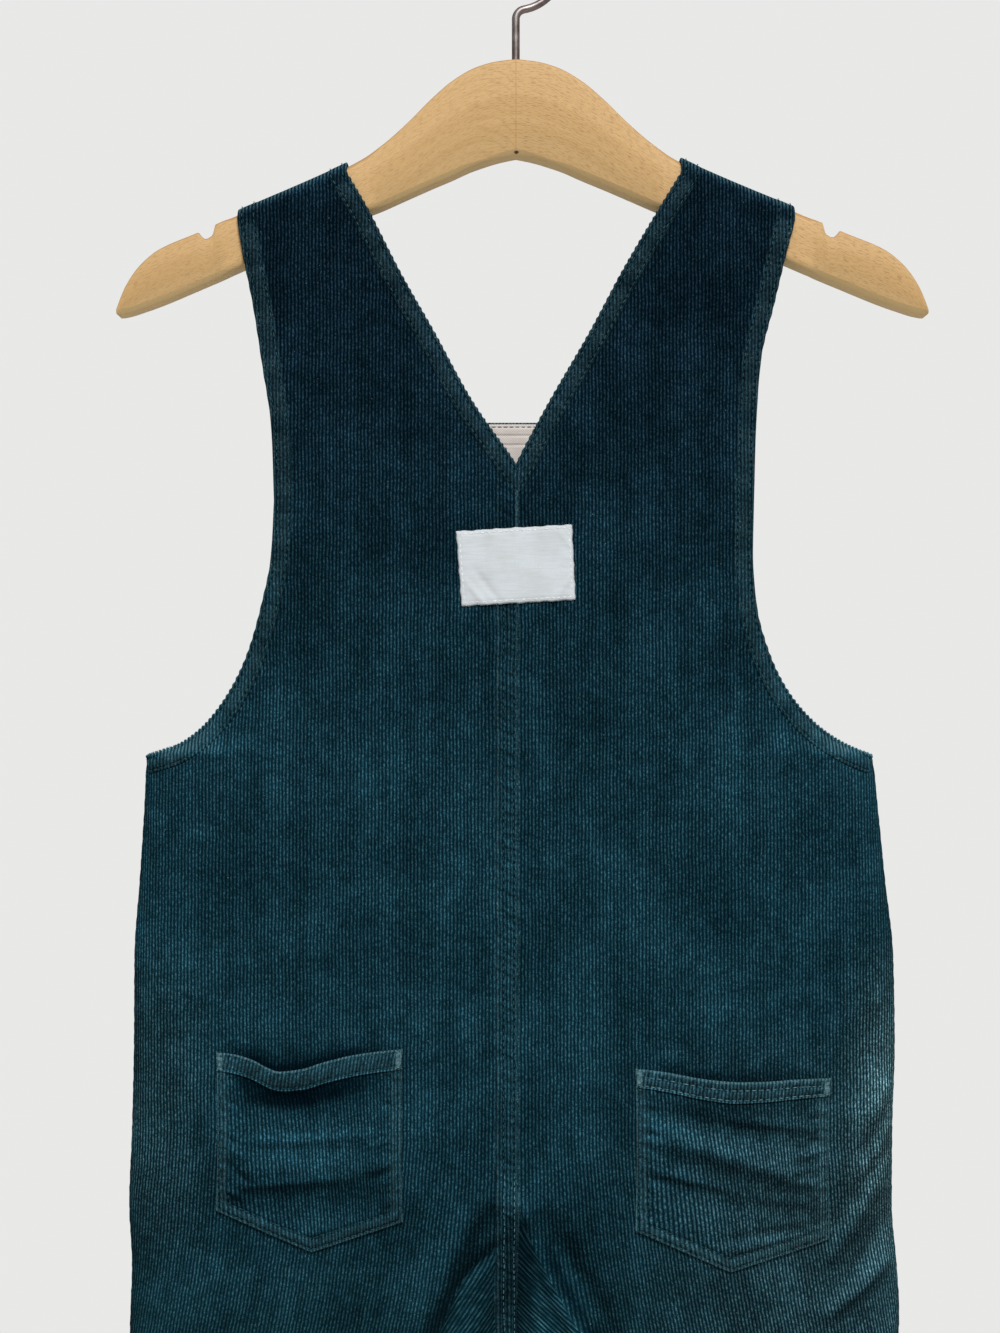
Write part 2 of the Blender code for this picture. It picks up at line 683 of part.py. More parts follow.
def build_hook(materials, group):
    """Steel wire hook as a bevelled curve."""
    points = hook_path()
    curve = bpy.data.curves.new("hook_path", "CURVE")
    curve.dimensions = "3D"
    curve.bevel_depth = WIRE / 2 * MM
    curve.bevel_resolution = 2
    curve.use_fill_caps = True
    spline = curve.splines.new("POLY")
    spline.points.add(len(points) - 1)
    for point, (x, z) in zip(spline.points, points):
        point.co = (x * MM, 0, z * MM, 1)
    item = bpy.data.objects.new("hook_curve", curve)
    group.objects.link(item)
    return mesh_from_curve(item, "hook", materials["steel"], group)


def wood_ring(x, top, bottom):
    """Rounded rectangle across the hanger at x."""
    half = WOOD_THICK / 2
    bend = min(WOOD_ROUND, (top - bottom) / 2 * 0.8)
    corners = ((1, top - bend, 0), (-1, top - bend, 90), (-1, bottom + bend, 180), (1, bottom + bend, 270))
    ring = []
    for toward, z, start in corners:
        y = toward * (half - bend)
        for step in (0, 45, 90):
            angle = math.radians(start + step)
            ring.append(Vector((x, y + bend * math.cos(angle), z + bend * math.sin(angle))))
    return ring


def hanger_places():
    """Distances from the middle at which the hanger's outline is read."""
    notch = [NOTCH_X + NOTCH_RADIUS * math.sin(math.radians(a)) for a in range(-90, 91, 30)]
    plain = [w.x for w in WOOD if abs(w.x - NOTCH_X) > NOTCH_RADIUS + 0.2]
    return sorted(plain + notch)


def build_hanger(materials, group, cutters):
    """Wooden hanger lofted from tip to tip, with a hole for the hook."""
    rings = []
    for side, sign in SIDES.items():
        half = []
        for place in hanger_places():
            top = through([w.x for w in WOOD], [w.top for w in WOOD], place)
            bottom = through([w.x for w in WOOD], [w.bottom for w in WOOD], place)
            from_notch = abs(place - NOTCH_X) / NOTCH_RADIUS
            if from_notch < 1:
                top -= NOTCH_RADIUS * 1.4 * math.sqrt(1 - from_notch ** 2)
            half.append(wood_ring(sign * place * REACH[side] / HANGER_REACH, top, bottom))
        rings += list(reversed(half)) if side == "left" else half[1:]
    bm = bmesh.new()
    loops = [[bm.verts.new(p * MM) for p in ring] for ring in rings]
    for a, b in zip(loops, loops[1:]):
        for i in range(len(a)):
            j = (i + 1) % len(a)
            bm.faces.new((a[i], a[j], b[j], b[i]))
    bm.faces.new(list(reversed(loops[0])))
    bm.faces.new(loops[-1])
    bmesh.ops.recalc_face_normals(bm, faces=bm.faces)
    mesh = bpy.data.meshes.new("hanger")
    bm.to_mesh(mesh)
    bm.free()
    hanger = add_object("hanger", mesh, materials["wood"], group)
    top = WOOD[0].top
    hole = add_cylinder("hanger_hole", STEM_HOLE, STEM_DEPTH + 10.5, 12, cutters)
    hole.location = Vector((0, 0, top + 5 - STEM_DEPTH / 2 - 0.25)) * MM
    cut(hanger, hole)
    mesh.shade_smooth()
    mesh.set_sharp_from_angle(angle=math.radians(40))
    return hanger


def add_cylinder(name, radius, length, sides, group):
    """Cylinder along Z, centred on its object."""
    mesh = bpy.data.meshes.new(name)
    bm = bmesh.new()
    bmesh.ops.create_cone(bm, cap_ends=True, segments=sides, radius1=radius * MM, radius2=radius * MM,
                          depth=length * MM)
    bm.to_mesh(mesh)
    bm.free()
    item = add_object(name, mesh, None, group)
    item.hide_render = True
    item.display_type = "WIRE"
    return item


def cut(item, cutter):
    """Take the cutter's shape out of an object."""
    boolean = item.modifiers.new("cut_" + cutter.name, "BOOLEAN")
    boolean.operation = "DIFFERENCE"
    boolean.object = cutter


def button_profile():
    """Radius and height of a button's turned outline, from its top middle to its back."""
    rim = BUTTON_RADIUS
    thick = BUTTON_THICK
    return ((0.0, thick - 1.0), (rim - 3.2, thick - 1.0), (rim - 2.2, thick), (rim - 0.8, thick),
            (rim, thick - 0.9), (rim - 0.4, 0.6), (rim - 1.6, 0.0), (0.0, 0.0))


def build_button(side, read, materials, group, cutters):
    """Four hole button that holds the strap's end on the bib."""
    sign = SIDES[side]
    x, z = BUTTON_PLACE[0] * sign, BUTTON_PLACE[1]
    y = max(read(x + dx, z + dz) for dx in (-9, 0, 9) for dz in (-9, 0, 9)) + SEAM_GAP
    name = "button_" + side
    mesh = bpy.data.meshes.new(name)
    points = [(r * MM, 0, h * MM) for r, h in button_profile()]
    mesh.from_pydata(points, [(i, i + 1) for i in range(len(points) - 1)], [])
    button = add_object(name, mesh, materials["button"], group)
    screw = button.modifiers.new("turn", "SCREW")
    screw.steps = 24
    screw.render_steps = 24
    screw.use_merge_vertices = True
    screw.merge_threshold = 0.00001
    button.location = Vector((x, y, z)) * MM
    button.rotation_euler = (math.radians(-90), 0, 0)
    for i in range(4):
        angle = math.radians(45 + 90 * i)
        hole = add_cylinder(name + "_hole_%d" % i, BUTTON_HOLE, 4 * BUTTON_THICK, 8, cutters)
        hole.location = Vector((x + BUTTON_PITCH * math.cos(angle), y, z + BUTTON_PITCH * math.sin(angle))) * MM
        hole.rotation_euler = (math.radians(90), 0, 0)
        cut(button, hole)
    return button


def main():
    clear_scene()
    group = new_collection("dungarees_on_hanger")
    cutters = new_collection("cutters", hidden=True)
    materials = {
        "cloth": new_material("corduroy", (0.012, 0.044, 0.055), 0.9),
        "facing": new_material("facing_cotton", (0.50, 0.44, 0.39), 0.9),
        "label": new_material("label_cotton", (0.62, 0.66, 0.70), 0.85),
        "button": new_material("button_metal", (0.35, 0.33, 0.30), 0.4, 0.9),
        "wood": new_material("beech", (0.58, 0.37, 0.17), 0.5),
        "steel": new_material("steel_wire", (0.35, 0.32, 0.30), 0.35, 1.0),
    }
    backs = {side: build_back(side, materials, group) for side in SIDES}
    for side in SIDES:
        build_front(side, materials, group)
    read_back = surface_reader([backs[side][1][20:] for side in SIDES], -1)
    read_strap = {side: surface_reader([backs[side][1][:12]], 1) for side in SIDES}
    for side in SIDES:
        build_pocket(side, read_back, materials, group)
        build_button(side, read_strap[side], materials, group, cutters)
    build_label(read_back, materials, group)
    build_facing(materials, group)
    build_hanger(materials, group, cutters)
    build_hook(materials, group)


main()
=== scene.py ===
"""Looks of a child's corduroy dungarees on a wooden hanger, seen from the back.

Millimetres in the tables and the cut plane, metres in the meshes. A piece is laid out
in its cut plane, x across and s along the grain. On a back piece s is the height up to
the shoulder, then a length over the hanger and down to the strap's end on the bib.
"""
import math
from collections import namedtuple

import bmesh
import bpy
import numpy as np
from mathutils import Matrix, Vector

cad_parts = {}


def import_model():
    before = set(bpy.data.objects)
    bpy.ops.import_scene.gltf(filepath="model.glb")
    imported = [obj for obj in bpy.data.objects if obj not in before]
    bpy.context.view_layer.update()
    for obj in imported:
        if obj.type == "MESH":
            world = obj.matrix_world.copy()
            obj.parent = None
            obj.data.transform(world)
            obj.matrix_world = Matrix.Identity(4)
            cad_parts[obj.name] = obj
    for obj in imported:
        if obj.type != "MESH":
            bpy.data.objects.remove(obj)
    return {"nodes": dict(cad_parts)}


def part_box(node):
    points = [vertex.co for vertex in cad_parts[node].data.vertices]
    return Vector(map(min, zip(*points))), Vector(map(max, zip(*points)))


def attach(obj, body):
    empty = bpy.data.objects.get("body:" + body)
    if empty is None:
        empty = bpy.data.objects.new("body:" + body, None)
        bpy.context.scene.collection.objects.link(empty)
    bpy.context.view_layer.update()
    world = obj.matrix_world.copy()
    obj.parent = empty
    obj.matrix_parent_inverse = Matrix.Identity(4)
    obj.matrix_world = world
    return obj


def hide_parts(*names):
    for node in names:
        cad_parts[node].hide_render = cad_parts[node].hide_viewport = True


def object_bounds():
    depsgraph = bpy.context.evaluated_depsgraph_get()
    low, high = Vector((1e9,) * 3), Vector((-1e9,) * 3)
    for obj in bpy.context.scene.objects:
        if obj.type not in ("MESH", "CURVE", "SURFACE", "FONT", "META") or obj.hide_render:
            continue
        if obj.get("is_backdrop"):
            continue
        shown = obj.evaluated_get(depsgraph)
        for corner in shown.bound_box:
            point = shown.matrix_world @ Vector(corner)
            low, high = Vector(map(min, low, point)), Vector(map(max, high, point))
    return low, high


MM = 0.001


def rows_of(kind, *rows):
    """A table's rows as named tuples."""
    return tuple(kind(*row) for row in rows)


# Cloth
CLOTH = 1.6
SEAM_GAP = 0.3
HALF_GAP = SEAM_GAP / 2
LEG_HEM = 15.0

# Hanger and hook
WOOD_THICK = 14.0
WOOD_ROUND = 3.1
WIRE = 3.2
HOOK_RADIUS = 19.0
STEM_DEPTH = 18.0

# A strap's way over the hanger: its bend, its half depth and its length
OVER_BEND = WOOD_ROUND + SEAM_GAP + CLOTH
OVER_HALF = WOOD_THICK / 2 + SEAM_GAP + CLOTH
OVER_LIFT = (SEAM_GAP + CLOTH) * 1.08
OVER_LENGTH = math.pi * OVER_BEND + 2 * (OVER_HALF - OVER_BEND)
STRAP_ON_BIB = CLOTH + SEAM_GAP + 0.4
STRAP_LIFT_FROM = -137.0
STRAP_LIFT_OVER = 60.0
STRAP_FLAT = OVER_HALF - OVER_BEND

# Heights
BIB_TOP = -203.0
NECK_POINT = -221.0
UNDERARM = -338.6
CROTCH = -580.0
HEM = -875.0

SIDES = {"left": -1, "right": 1}

# The hanger's outline, from its middle out to a tip, for a reach of 160 mm
HANGER_REACH = 160.0
REACH = {"left": 160.8, "right": 166.0}
Wood = namedtuple("Wood", "x top bottom")
WOOD = rows_of(
    Wood, (0, -57.8, -96), (8, -58.8, -97.6), (16.4, -61.3, -100.3), (25.6, -66.7, -104.6), (34, -74, -108.2),
    (43.2, -83.3, -112.3), (53.6, -92.5, -117), (60, -96.8, -119.7), (66.8, -100.6, -122.6),
    (78, -105.9, -127.4), (90, -111.2, -132.6), (101, -115.9, -137.5), (112.4, -120.8, -142.6),
    (127.2, -127.6, -149), (142.8, -134.4, -155.6), (150, -140.2, -158.2), (155.6, -147.8, -160),
    (159, -155.4, -160.6), (160, -158.6, -160.4),
)

# Edges of a back piece. Out is the armhole, then the side seam, and in is the neck,
# then the centre seam, then the inside leg. A row without its last two ends at the centre seam.
Edge = namedtuple("Edge", "z_out left_out right_out z_in left_in right_in", defaults=(-HALF_GAP, HALF_GAP))
SHOULDER = Edge(-123.2, -111.6, 111.8, -103.6, -68.4, 66.8)
BACK_STRAP = rows_of(
    Edge, SHOULDER, (-137, -109.4, 108.2, -118, -60, 58), (-157, -105.4, 103.4, -143.8, -46.8, 42.8),
    (-180, -101.8, 98, -167.8, -33.2, 30), (-208, -97.8, 96, -196.5, -17.4, 13.4),
    (-236, -96.8, 95.2, NECK_POINT),
)
BACK_YOKE = rows_of(
    Edge, BACK_STRAP[-1], (-257.8, -98, 94.8, -247), (-277.8, -102, 96.4, -270), (-297.8, -108, 102, -292),
    (-314, -116.2, 110.6, -312), (-327.8, -127.4, 123.6, -329), (-334.6, -137.2, 134.4, -340),
    (UNDERARM, -149, 143.8, -348),
)
BODY = rows_of(
    Edge, BACK_YOKE[-1], (-360, -150.2, 146.4, -366), (-388, -152, 149.2, -390), (-420, -154.2, 152.6, -420),
    (-455, -154.4, 153.2, -455), (-490, -155.2, 152.2, -490), (-520, -156.3, 152, -520),
    (-545, -155.2, 154, -545), (-563, -155.8, 155, -563), (CROTCH, -156.2, 154.6, CROTCH),
)
LEG = rows_of(
    Edge, BODY[-1], (-602, -156, 154.2, -602, -1.8, 2), (-640, -154.4, 152.8, -640, -6.6, 7),
    (-690, -152, 150.6, -690, -12.6, 13.2), (-740, -149.8, 148.6, -740, -17.6, 18.4),
    (-800, -147.4, 146.2, -800, -21.6, 22), (HEM + LEG_HEM, -145.4, 144.4, HEM + LEG_HEM, -24.6, 24.6),
)
LEG_END = rows_of(
    Edge, LEG[-1], (HEM, -145.2, 144.2, HEM, -25, 25),
)

# The strap's front stretch, from its end on the bib up to the hanger
FRONT_STRAP = rows_of(
    Edge, (-238.5, -57.5, 57.5, -238.5, -34.5, 34.5), (-236, -62, 62, -236.5, -29.5, 29.5),
    (-228, -64.8, 64.8, -227, -28.6, 28.6), (-200, -71.5, 71.5, -193, -34.5, 34.5),
    (-165, -88, 88, -152, -48, 48), SHOULDER,
)
FRONT_YOKE = rows_of(
    Edge, (BIB_TOP, -72.5, 71.5, BIB_TOP), (-212, -72.6, 71.6, -212.5), (-250, -75.6, 74.2, -254),
    (-275, -82, 80, -280), (-298, -92, 89.5, -304), (-316, -105.5, 101.5, -323), (-329, -122, 117.5, -336),
    BACK_YOKE[-1],
)

# Distance of the cloth's face from the middle plane, at the middle and at the edge.
# Turn is 1 where the edge hangs free and 0.5 where the cloth turns round into a side seam.
Depth = namedtuple("Depth", "z back back_edge front front_edge turn")
DEPTHS = rows_of(
    Depth, (-100, 8.9, 8.9, 8.9, 8.9, 1), (-150, 9.2, 8.9, 9, 8.9, 1), (-205, 11.2, 9.6, 9.6, 8.6, 1),
    (-260, 13, 9.6, 11.4, 8, 1), (-300, 14, 7.4, 12.8, 6.4, 1), (-322, 14.5, 4.2, 13.6, 3.6, 0.9),
    (-332, 14.8, 1.8, 13.8, 1.5, 0.7), (UNDERARM, 15, HALF_GAP, 14, HALF_GAP, 0.5),
    (-420, 16.4, HALF_GAP, 15.6, HALF_GAP, 0.5), (-500, 18, HALF_GAP, 16.6, HALF_GAP, 0.5),
    (-560, 17.4, HALF_GAP, 16.4, HALF_GAP, 0.5), (-640, 16.4, HALF_GAP, 16, HALF_GAP, 0.5),
    (HEM, 17, HALF_GAP, 16.4, HALF_GAP, 0.5),
)
CROTCH_START = -515.0
BODY_POWER = 5.0
LEG_POWER = 3.0

# Folds of the cloth: a line from one end to the other, positive where it stands out
Fold = namedtuple("Fold", "x0 z0 x1 z1 width rise")
BACK_FOLDS = rows_of(
    Fold, (-9, -516, -40, -622, 5.5, -4.2), (-22, -512, -58, -616, 9, 2.2), (-1, -512, 46, -608, 5, 3.4),
    (9, -518, 55, -620, 6, -4.6), (-148, -404, -122, -506, 10, 1.6), (-120, -540, -148, -612, 10, 2),
    (148, -440, 124, -480, 8, -1.6), (150, -466, 128, -514, 8, 2), (-52, -640, -136, -668, 10, -2.6),
    (-40, -684, -128, -700, 11, 2.4), (-96, -750, -84, -868, 13, 2.6), (48, -668, 128, -642, 10, 2.6),
    (40, -708, 134, -692, 11, -2.4), (98, -744, 82, -862, 13, -2.6),
)
FRONT_FOLDS = rows_of(
    Fold, (-6, -514, -48, -612, 9, 3), (8, -512, 52, -604, 9, 2.8), (30, -536, 70, -618, 9, -2.6),
    (-138, -424, -88, -472, 12, 2), (136, -442, 92, -496, 12, -2), (-46, -672, -132, -650, 11, 2.6),
    (-50, -714, -124, -724, 11, -2.4), (46, -650, 128, -678, 11, -2.6), (54, -698, 130, -714, 11, 2.4),
    (-98, -764, -84, -866, 13, -2.4), (78, -758, 92, -864, 13, 2.5),
)

# Patch pockets: the height of each corner, and how far the top edge sags and gapes
Pocket = namedtuple("Pocket", "x_left x_right x_point top_left top_right low_left low_right point sag gape")
POCKETS = {
    "left": Pocket(-119.4, -45.0, -81.2, -456.0, -454.2, -519.0, -523.0, -535.2, 7.0, 4.4),
    "right": Pocket(47.2, 125.0, 85.2, -462.0, -466.4, -526.5, -530.6, -543.2, 3.0, 1.4),
}
POCKET_HEM = 7.4
POCKET_LIFT = 0.35

# Label: its corners, from the top left one, clockwise
LABEL = ((-24.0, -248.4), (22.4, -245.6), (23.8, -275.8), (-21.8, -278.4))

FACING_DEEP = 30.0

BUTTON_PITCH = 2.1

# Finish of the cloth: wale pitch, wall, and the steps of its meshes
WALE = 1.42
CLOTH_WALL = 1.2
POCKET_WALL = 1.1
SEAM_WALL = 0.8
COTTON_WALL = 0.5
HEM_STEP = 0.4
EDGE_STEP = 1.5
OVER_STEP = {"panel": 1.2, "hem": 1.0}
FELLED_STEP = 0.6
POCKET_STEP = 0.7
PANEL_STEP = {"back": 2.4, "front": 3.4}
PANEL_COLUMN = {"back": 2.0, "front": 3.0}
UV_UNIT = 100.0
SOFT_EDGE = 0.7
SOFT_TAPS = (-18.0, -12.0, -6.0, 0.0, 6.0, 12.0, 18.0)
POCKET_STITCHES = (1.1, 4.9)
POCKET_HEM_STITCHES = {"left": (1.1, 6.3), "right": (2.9, 6.3)}
POCKET_LEAN = {"left": 0.08, "right": 0.12}
POCKET_SHIFT = {"left": 3.7, "right": 1.9}
POCKET_SHADOW = {"left": 0.8, "right": 0.3}
MOUTH_SHADOW = {"left": 1.0, "right": 0.75}
POCKET_LEAST = 1.25
STITCH_PITCH = 2.7
STITCH_LIFT = 0.55
FELLED_STITCH_LIFT = 0.3
BIB_HEM_OVER = 0.6
LABEL_STITCH = 1.3
FACING_TOP = 0.5
FACING_LINES = (1.1, 4.6, 8.4)
FELLED_END = -577.0
PALE_STITCHES = -505.0

# Smaller creases, seen only in the finished cloth
BACK_CREASES = rows_of(
    Fold, (-9, -516, -35, -582, 2.8, -3.4), (-14, -514, -42, -580, 4, 1.8), (-11, -527, -26, -551, 1.5, 1.4),
    (-5.5, -531, -25, -554, 1.7, -2.2), (-4, -545, -18, -574, 3, 1.2), (1, -513, 13, -546, 1.7, 1.6),
    (6, -533, 27, -576, 1.3, 1.3), (5, -522, 18, -549, 2.6, -2.6), (8.5, -534, 32.5, -580, 2.4, -1.2),
    (14, -532, 38, -576, 3.2, 1.6), (19.5, -532, 44, -576, 3.6, -0.6), (-60, -380, -100, -470, 14, 0.8),
    (60, -392, 104, -452, 14, -0.8), (152, -500, 124, -541, 2.8, 3), (157, -512, 131, -553, 4, -2.4),
    (154, -538, 121, -564, 2.8, 2.6), (155, -458, 141, -493, 2.2, 2), (157, -470, 136, -503, 3.2, -1.8),
    (156, -482, 132, -512, 2.2, 1.8), (20, -300, 60, -360, 12, 0.6), (-20, -310, -70, -345, 12, -0.6),
)
FRONT_CREASES = rows_of(
    Fold, (-30, -400, 20, -430, 14, 0.9), (-40, -280, 30, -300, 12, 0.7),
)
POCKET_CREASES = {
    "left": rows_of(
        Fold, (-126, -484, -34, -474, 6.5, -2.6), (-128, -505, -34, -500, 6.5, 1.5),
        (-112, -492, -50, -488, 2.4, 0.7), (-118, -510, -62, -505, 2.2, 0.7),
        (-126, -521, -36, -514, 5, -1.2), (-112, -532, -44, -523, 2.6, 0.5),
        (-120, -490, -106, -499, 1.8, 0.7), (-120, -498, -104, -508, 1.8, -0.7),
        (-120, -507, -106, -515, 1.8, 0.6), (-60, -478, -42, -471, 1.8, 0.9),
        (-62, -486, -42, -480, 1.8, -0.8), (-60, -493, -42, -490, 1.8, 0.6),
        (-60, -506, -42, -502, 1.8, -0.6),
    ),
    "right": rows_of(
        Fold, (42, -478, 128, -495, 4, -1.3), (42, -485, 130, -511, 4.6, 1.7), (44, -500, 90, -512, 2.2, 0.8),
        (60, -512, 128, -517, 2.4, 0.7), (70, -482, 128, -487, 2.4, 0.6), (46, -507, 130, -523, 4, -1.2),
        (78, -531, 126, -524, 1.8, -0.9), (76, -535, 122, -529, 2.6, 0.6), (108, -498, 130, -494, 1.8, 0.8),
        (108, -506, 130, -503, 1.8, -0.7), (44, -486, 60, -490, 1.6, -0.7), (44, -494, 60, -499, 1.6, 0.6),
        (44, -504, 62, -508, 1.6, -0.6),
    ),
}
SAG_LINE = {
    "left": ((0.0, 0.0), (0.07, 0.06), (0.14, 0.19), (0.22, 0.46), (0.29, 0.82), (0.35, 1.0), (0.47, 0.87),
             (0.59, 0.54), (0.75, 0.25), (1.0, 0.0)),
    "right": ((0.0, 0.0), (0.14, 0.2), (0.36, 0.85), (0.5, 1.0), (0.66, 0.8), (0.84, 0.3), (1.0, 0.0)),
}
LABEL_CREASES = rows_of(
    Fold, (2.4, -242, 1.6, -282, 0.9, -0.24), (-22, -266, -10, -281, 1.3, 0.5),
    (-18, -262, -4, -280, 1.5, -0.45), (12, -281, 25, -262, 1.3, 0.45), (16, -247, 24, -257, 1.3, 0.35),
    (-20, -256, -2, -268, 4, 0.25), (4, -254, 20, -264, 4, -0.25),
)

# Between a fold's line and the centre seam the wales lean far over: where that starts,
# how much of the wale pitch is left across, and how fast they then run aside
Lean = namedtuple("Lean", "start across aside within")
LEANS = {"left": Lean(-531.0, 0.82, 0.57, 9.0), "right": Lean(-521.0, 0.62, 0.78, 14.0)}
LEAN_LINES = {
    "left": ((-520.0, -1.0), (-533.8, -8.0), (-540.0, -15.0), (-551.0, -22.0), (-568.0, -30.0), (-600.0, -44.0)),
    "right": ((-514.0, 0.2), (-527.0, 4.2), (-537.4, 8.6), (-551.0, 15.6), (-564.6, 23.4), (-600.0, 45.0)),
}
TUCK_SHADOW = {"left": 0.3, "right": 0.78}
TUCK_BELOW = 7.0
TUCK_PAST = 4.2
TUCK_WIDE = 3.6
MOUTH_WIDE = 3.4
LEG_LEAN = 0.13
LEG_LEAN_FROM = 30.0
LEAN_START = -492.0
LEAN_RUN = 90.0

# Colours
CORD_HIGH = (0.020, 0.046, 0.067)
CORD_LOW = (0.038, 0.128, 0.172)
CORD_LEG = (0.034, 0.100, 0.116)
CORD_RIGHT = (0.100, 0.210, 0.240)
# Painted highlight: a lighter glow on the hips' side edges.
CORD_EDGE_HIGHLIGHT = (0.31, 0.60, 0.66)
# The next two are the valley colours between the wales, a painted shade; the upper one also paints the shadows in
# pocket mouths, tucks, stitch dips and below pocket hems.
CORD_VALLEY_HIGH = (0.0001, 0.0034, 0.0078)
CORD_VALLEY = (0.0010, 0.0120, 0.0200)
CORD_MID = (0.008, 0.032, 0.042)
# Lighter rubbed colour, also used as a painted highlight on upward-facing ridges and pocket rims.
CORD_WEAR_AND_HIGHLIGHT = (0.095, 0.205, 0.235)
LINT = (0.35, 0.40, 0.42)
FLUFF = (0.22, 0.33, 0.36)
WEAR_AND_HIGHLIGHT = 0.8

# Where the corduroy's colours change, in metres down the cloth and across it
DARK_ABOVE = (-0.13, -0.42)
LEG_BELOW = (-0.52, -0.58)
RIGHT_BELOW = (-0.43, -0.52)
RIGHT_FROM = (0.02, 0.135)
# Where the painted highlight on the hips' side edges lies: heights, then each side's x span and strength.
HIP_HIGHLIGHT_SPAN = ((-0.40, -0.475), (-0.555, -0.505))
HIP_HIGHLIGHT_EDGES = ((0.124, 0.156, 0.0, 0.9), (-0.112, -0.145, 0.0, 0.17))
CROTCH_SPAN = ((0.004, 0.008), (0.040, 0.018))
CROTCH_BELOW = (-0.53, -0.55)

# More colours
POCKET_LIGHTER = 1.1
FACING = (0.64, 0.59, 0.545)
FACING_SHADE = (0.50, 0.44, 0.40)
LABEL_WHITE = (0.58, 0.625, 0.655)
LABEL_SHADE = (0.42, 0.425, 0.415)
THREAD = (0.007, 0.032, 0.042)
THREAD_LIGHT = (0.030, 0.090, 0.108)
THREAD_PALE = (0.13, 0.23, 0.26)
BEECH = (0.562, 0.362, 0.162)
BEECH_BAND = (0.50, 0.312, 0.130)
# Dark flecks, rings and centre joint of the wood, also used as painted shade on the top edges.
BEECH_FLECK_AND_SHADE = (0.27, 0.125, 0.042)
# Painted light on the hanger's underside.
BEECH_UNDERSIDE_PAINTED_LIGHT = (0.72, 0.50, 0.23)
# Painted shade inside a small hole in the wood.
HOLE_PAINTED_SHADE = (0.09, 0.045, 0.03)
STEEL = (0.30, 0.26, 0.25)
STEEL_DARK = (0.17, 0.14, 0.13)
BUTTON_METAL = (0.35, 0.33, 0.30)
BUTTON_BRIGHT = (0.52, 0.49, 0.44)
THREAD_WHITE = (0.80, 0.82, 0.84)
WALL = (0.81, 0.81, 0.80)
FLOOR = (0.60, 0.60, 0.59)
BACKWARDS = (0.0, -1.0, 0.0)

# Hook: where its round top starts and ends. Hanger: its rounding, the bevel below, the
# stretch under a strap and each notch's outline
HOOK_JOIN = math.radians(80)
HOOK_END = math.radians(205)
EDGE_ROUND = 1.2
BEVEL = 2.1
BEVEL_DIP = 1.3
BEVEL_DIP_AT = (13, 7)
STRAP_SPAN = (54.0, 60.0, 113.0, 118.0)
NOTCH_SHIFT = {"left": 0.75, "right": -0.65}
NotchPoint = namedtuple("NotchPoint", "x drop")
NOTCH = rows_of(
    NotchPoint, (119.5, 0), (119.7, 0.25), (120.2, 2), (120.6, 3.3), (121.2, 3.95), (122.8, 4.2), (124, 3.7),
    (125, 2.4), (126.2, 0.3), (126.7, 0),
)
HOLE = (0.2, -95.3, 0.9, 0.55)

# Stage: a lamp's name, place, aim, size in metres and power in watts
FLOOR_RADIUS = 0.85
FLOOR_HEIGHT = -0.93
ROOM_LIGHT = 0.45
LAMPS = (
    ("key", (0.25, -1.75, 1.35), (0.0, 0.0, -0.4), 0.8, 62.0),
    ("behind", (0.6, 1.7, 1.3), (0.0, 0.0, -0.4), 1.0, 48.0),
)

# Camera
CAMERA_PLACE = (-0.0064, -0.912, -0.3024)
CAMERA_LENS = 60.77
CAMERA_SENSOR = 36.0


# Cut plane and cloth surface


def clamp(value, low=0.0, high=1.0):
    return np.minimum(np.maximum(value, low), high)


def ease(value):
    """Go smoothly from 0 to 1."""
    value = clamp(value)
    return value * value * (3 - 2 * value)


def mix(a, b, share):
    return a + (b - a) * share


def bell(value, middle, width):
    """A bell curve, 1 at its middle."""
    return np.exp(-((value - middle) / width) ** 2)


def run_length(line):
    """Length along a line of points, up to each of them."""
    return np.concatenate(([0.0], np.cumsum(np.linalg.norm(np.diff(line, axis=0), axis=1))))


def through(places, values, at):
    """Read a smooth curve through values, which never overshoots them."""
    places, values, at = (np.asarray(item, dtype=float) for item in (places, values, at))
    if places[0] > places[-1]:
        places, values = places[::-1], values[::-1]
    slopes = np.diff(values) / np.diff(places)
    product = slopes[:-1] * slopes[1:]
    total = np.where(product > 0, slopes[:-1] + slopes[1:], 1.0)
    middle = np.where(product > 0, 2 * product / total, 0.0)
    tangents = np.concatenate((slopes[:1], middle, slopes[-1:]))
    k = np.clip(np.searchsorted(places, at, side="right") - 1, 0, len(places) - 2)
    span = places[k + 1] - places[k]
    t = clamp((at - places[k]) / span)
    a, b = values[k], values[k + 1]
    start, end = tangents[k] * span, tangents[k + 1] * span
    return ((2 * t ** 3 - 3 * t ** 2 + 1) * a + (t ** 3 - 2 * t ** 2 + t) * start
            + (3 * t ** 2 - 2 * t ** 3) * b + (t ** 3 - t ** 2) * end)


def uneven(place, wave, seed):
    """Uneven wave along a length, between -1 and 1, the same on each run."""
    turn = 2 * math.pi * np.asarray(place, dtype=float) / wave
    parts = ((1.0, 1.0, 0.0), (0.61, 1.73, 1.3), (0.53, 0.57, 2.9), (0.34, 2.71, 4.4))
    total = sum(size * np.sin(turn * rate + seed * (1.7 + rate) + start) for size, rate, start in parts)
    return total / sum(size for size, _, _ in parts)


def outline_x(z, side, face, end):
    """The x of a piece's outer or inner edge at a height."""
    upper = BACK_STRAP + BACK_YOKE[1:] if face == "back" else FRONT_YOKE
    rows = upper + BODY[1:] + LEG[1:] + LEG_END[1:]
    places = [getattr(row, "z_" + end) for row in rows]
    return through(places, [getattr(row, side + "_" + end) for row in rows], z)


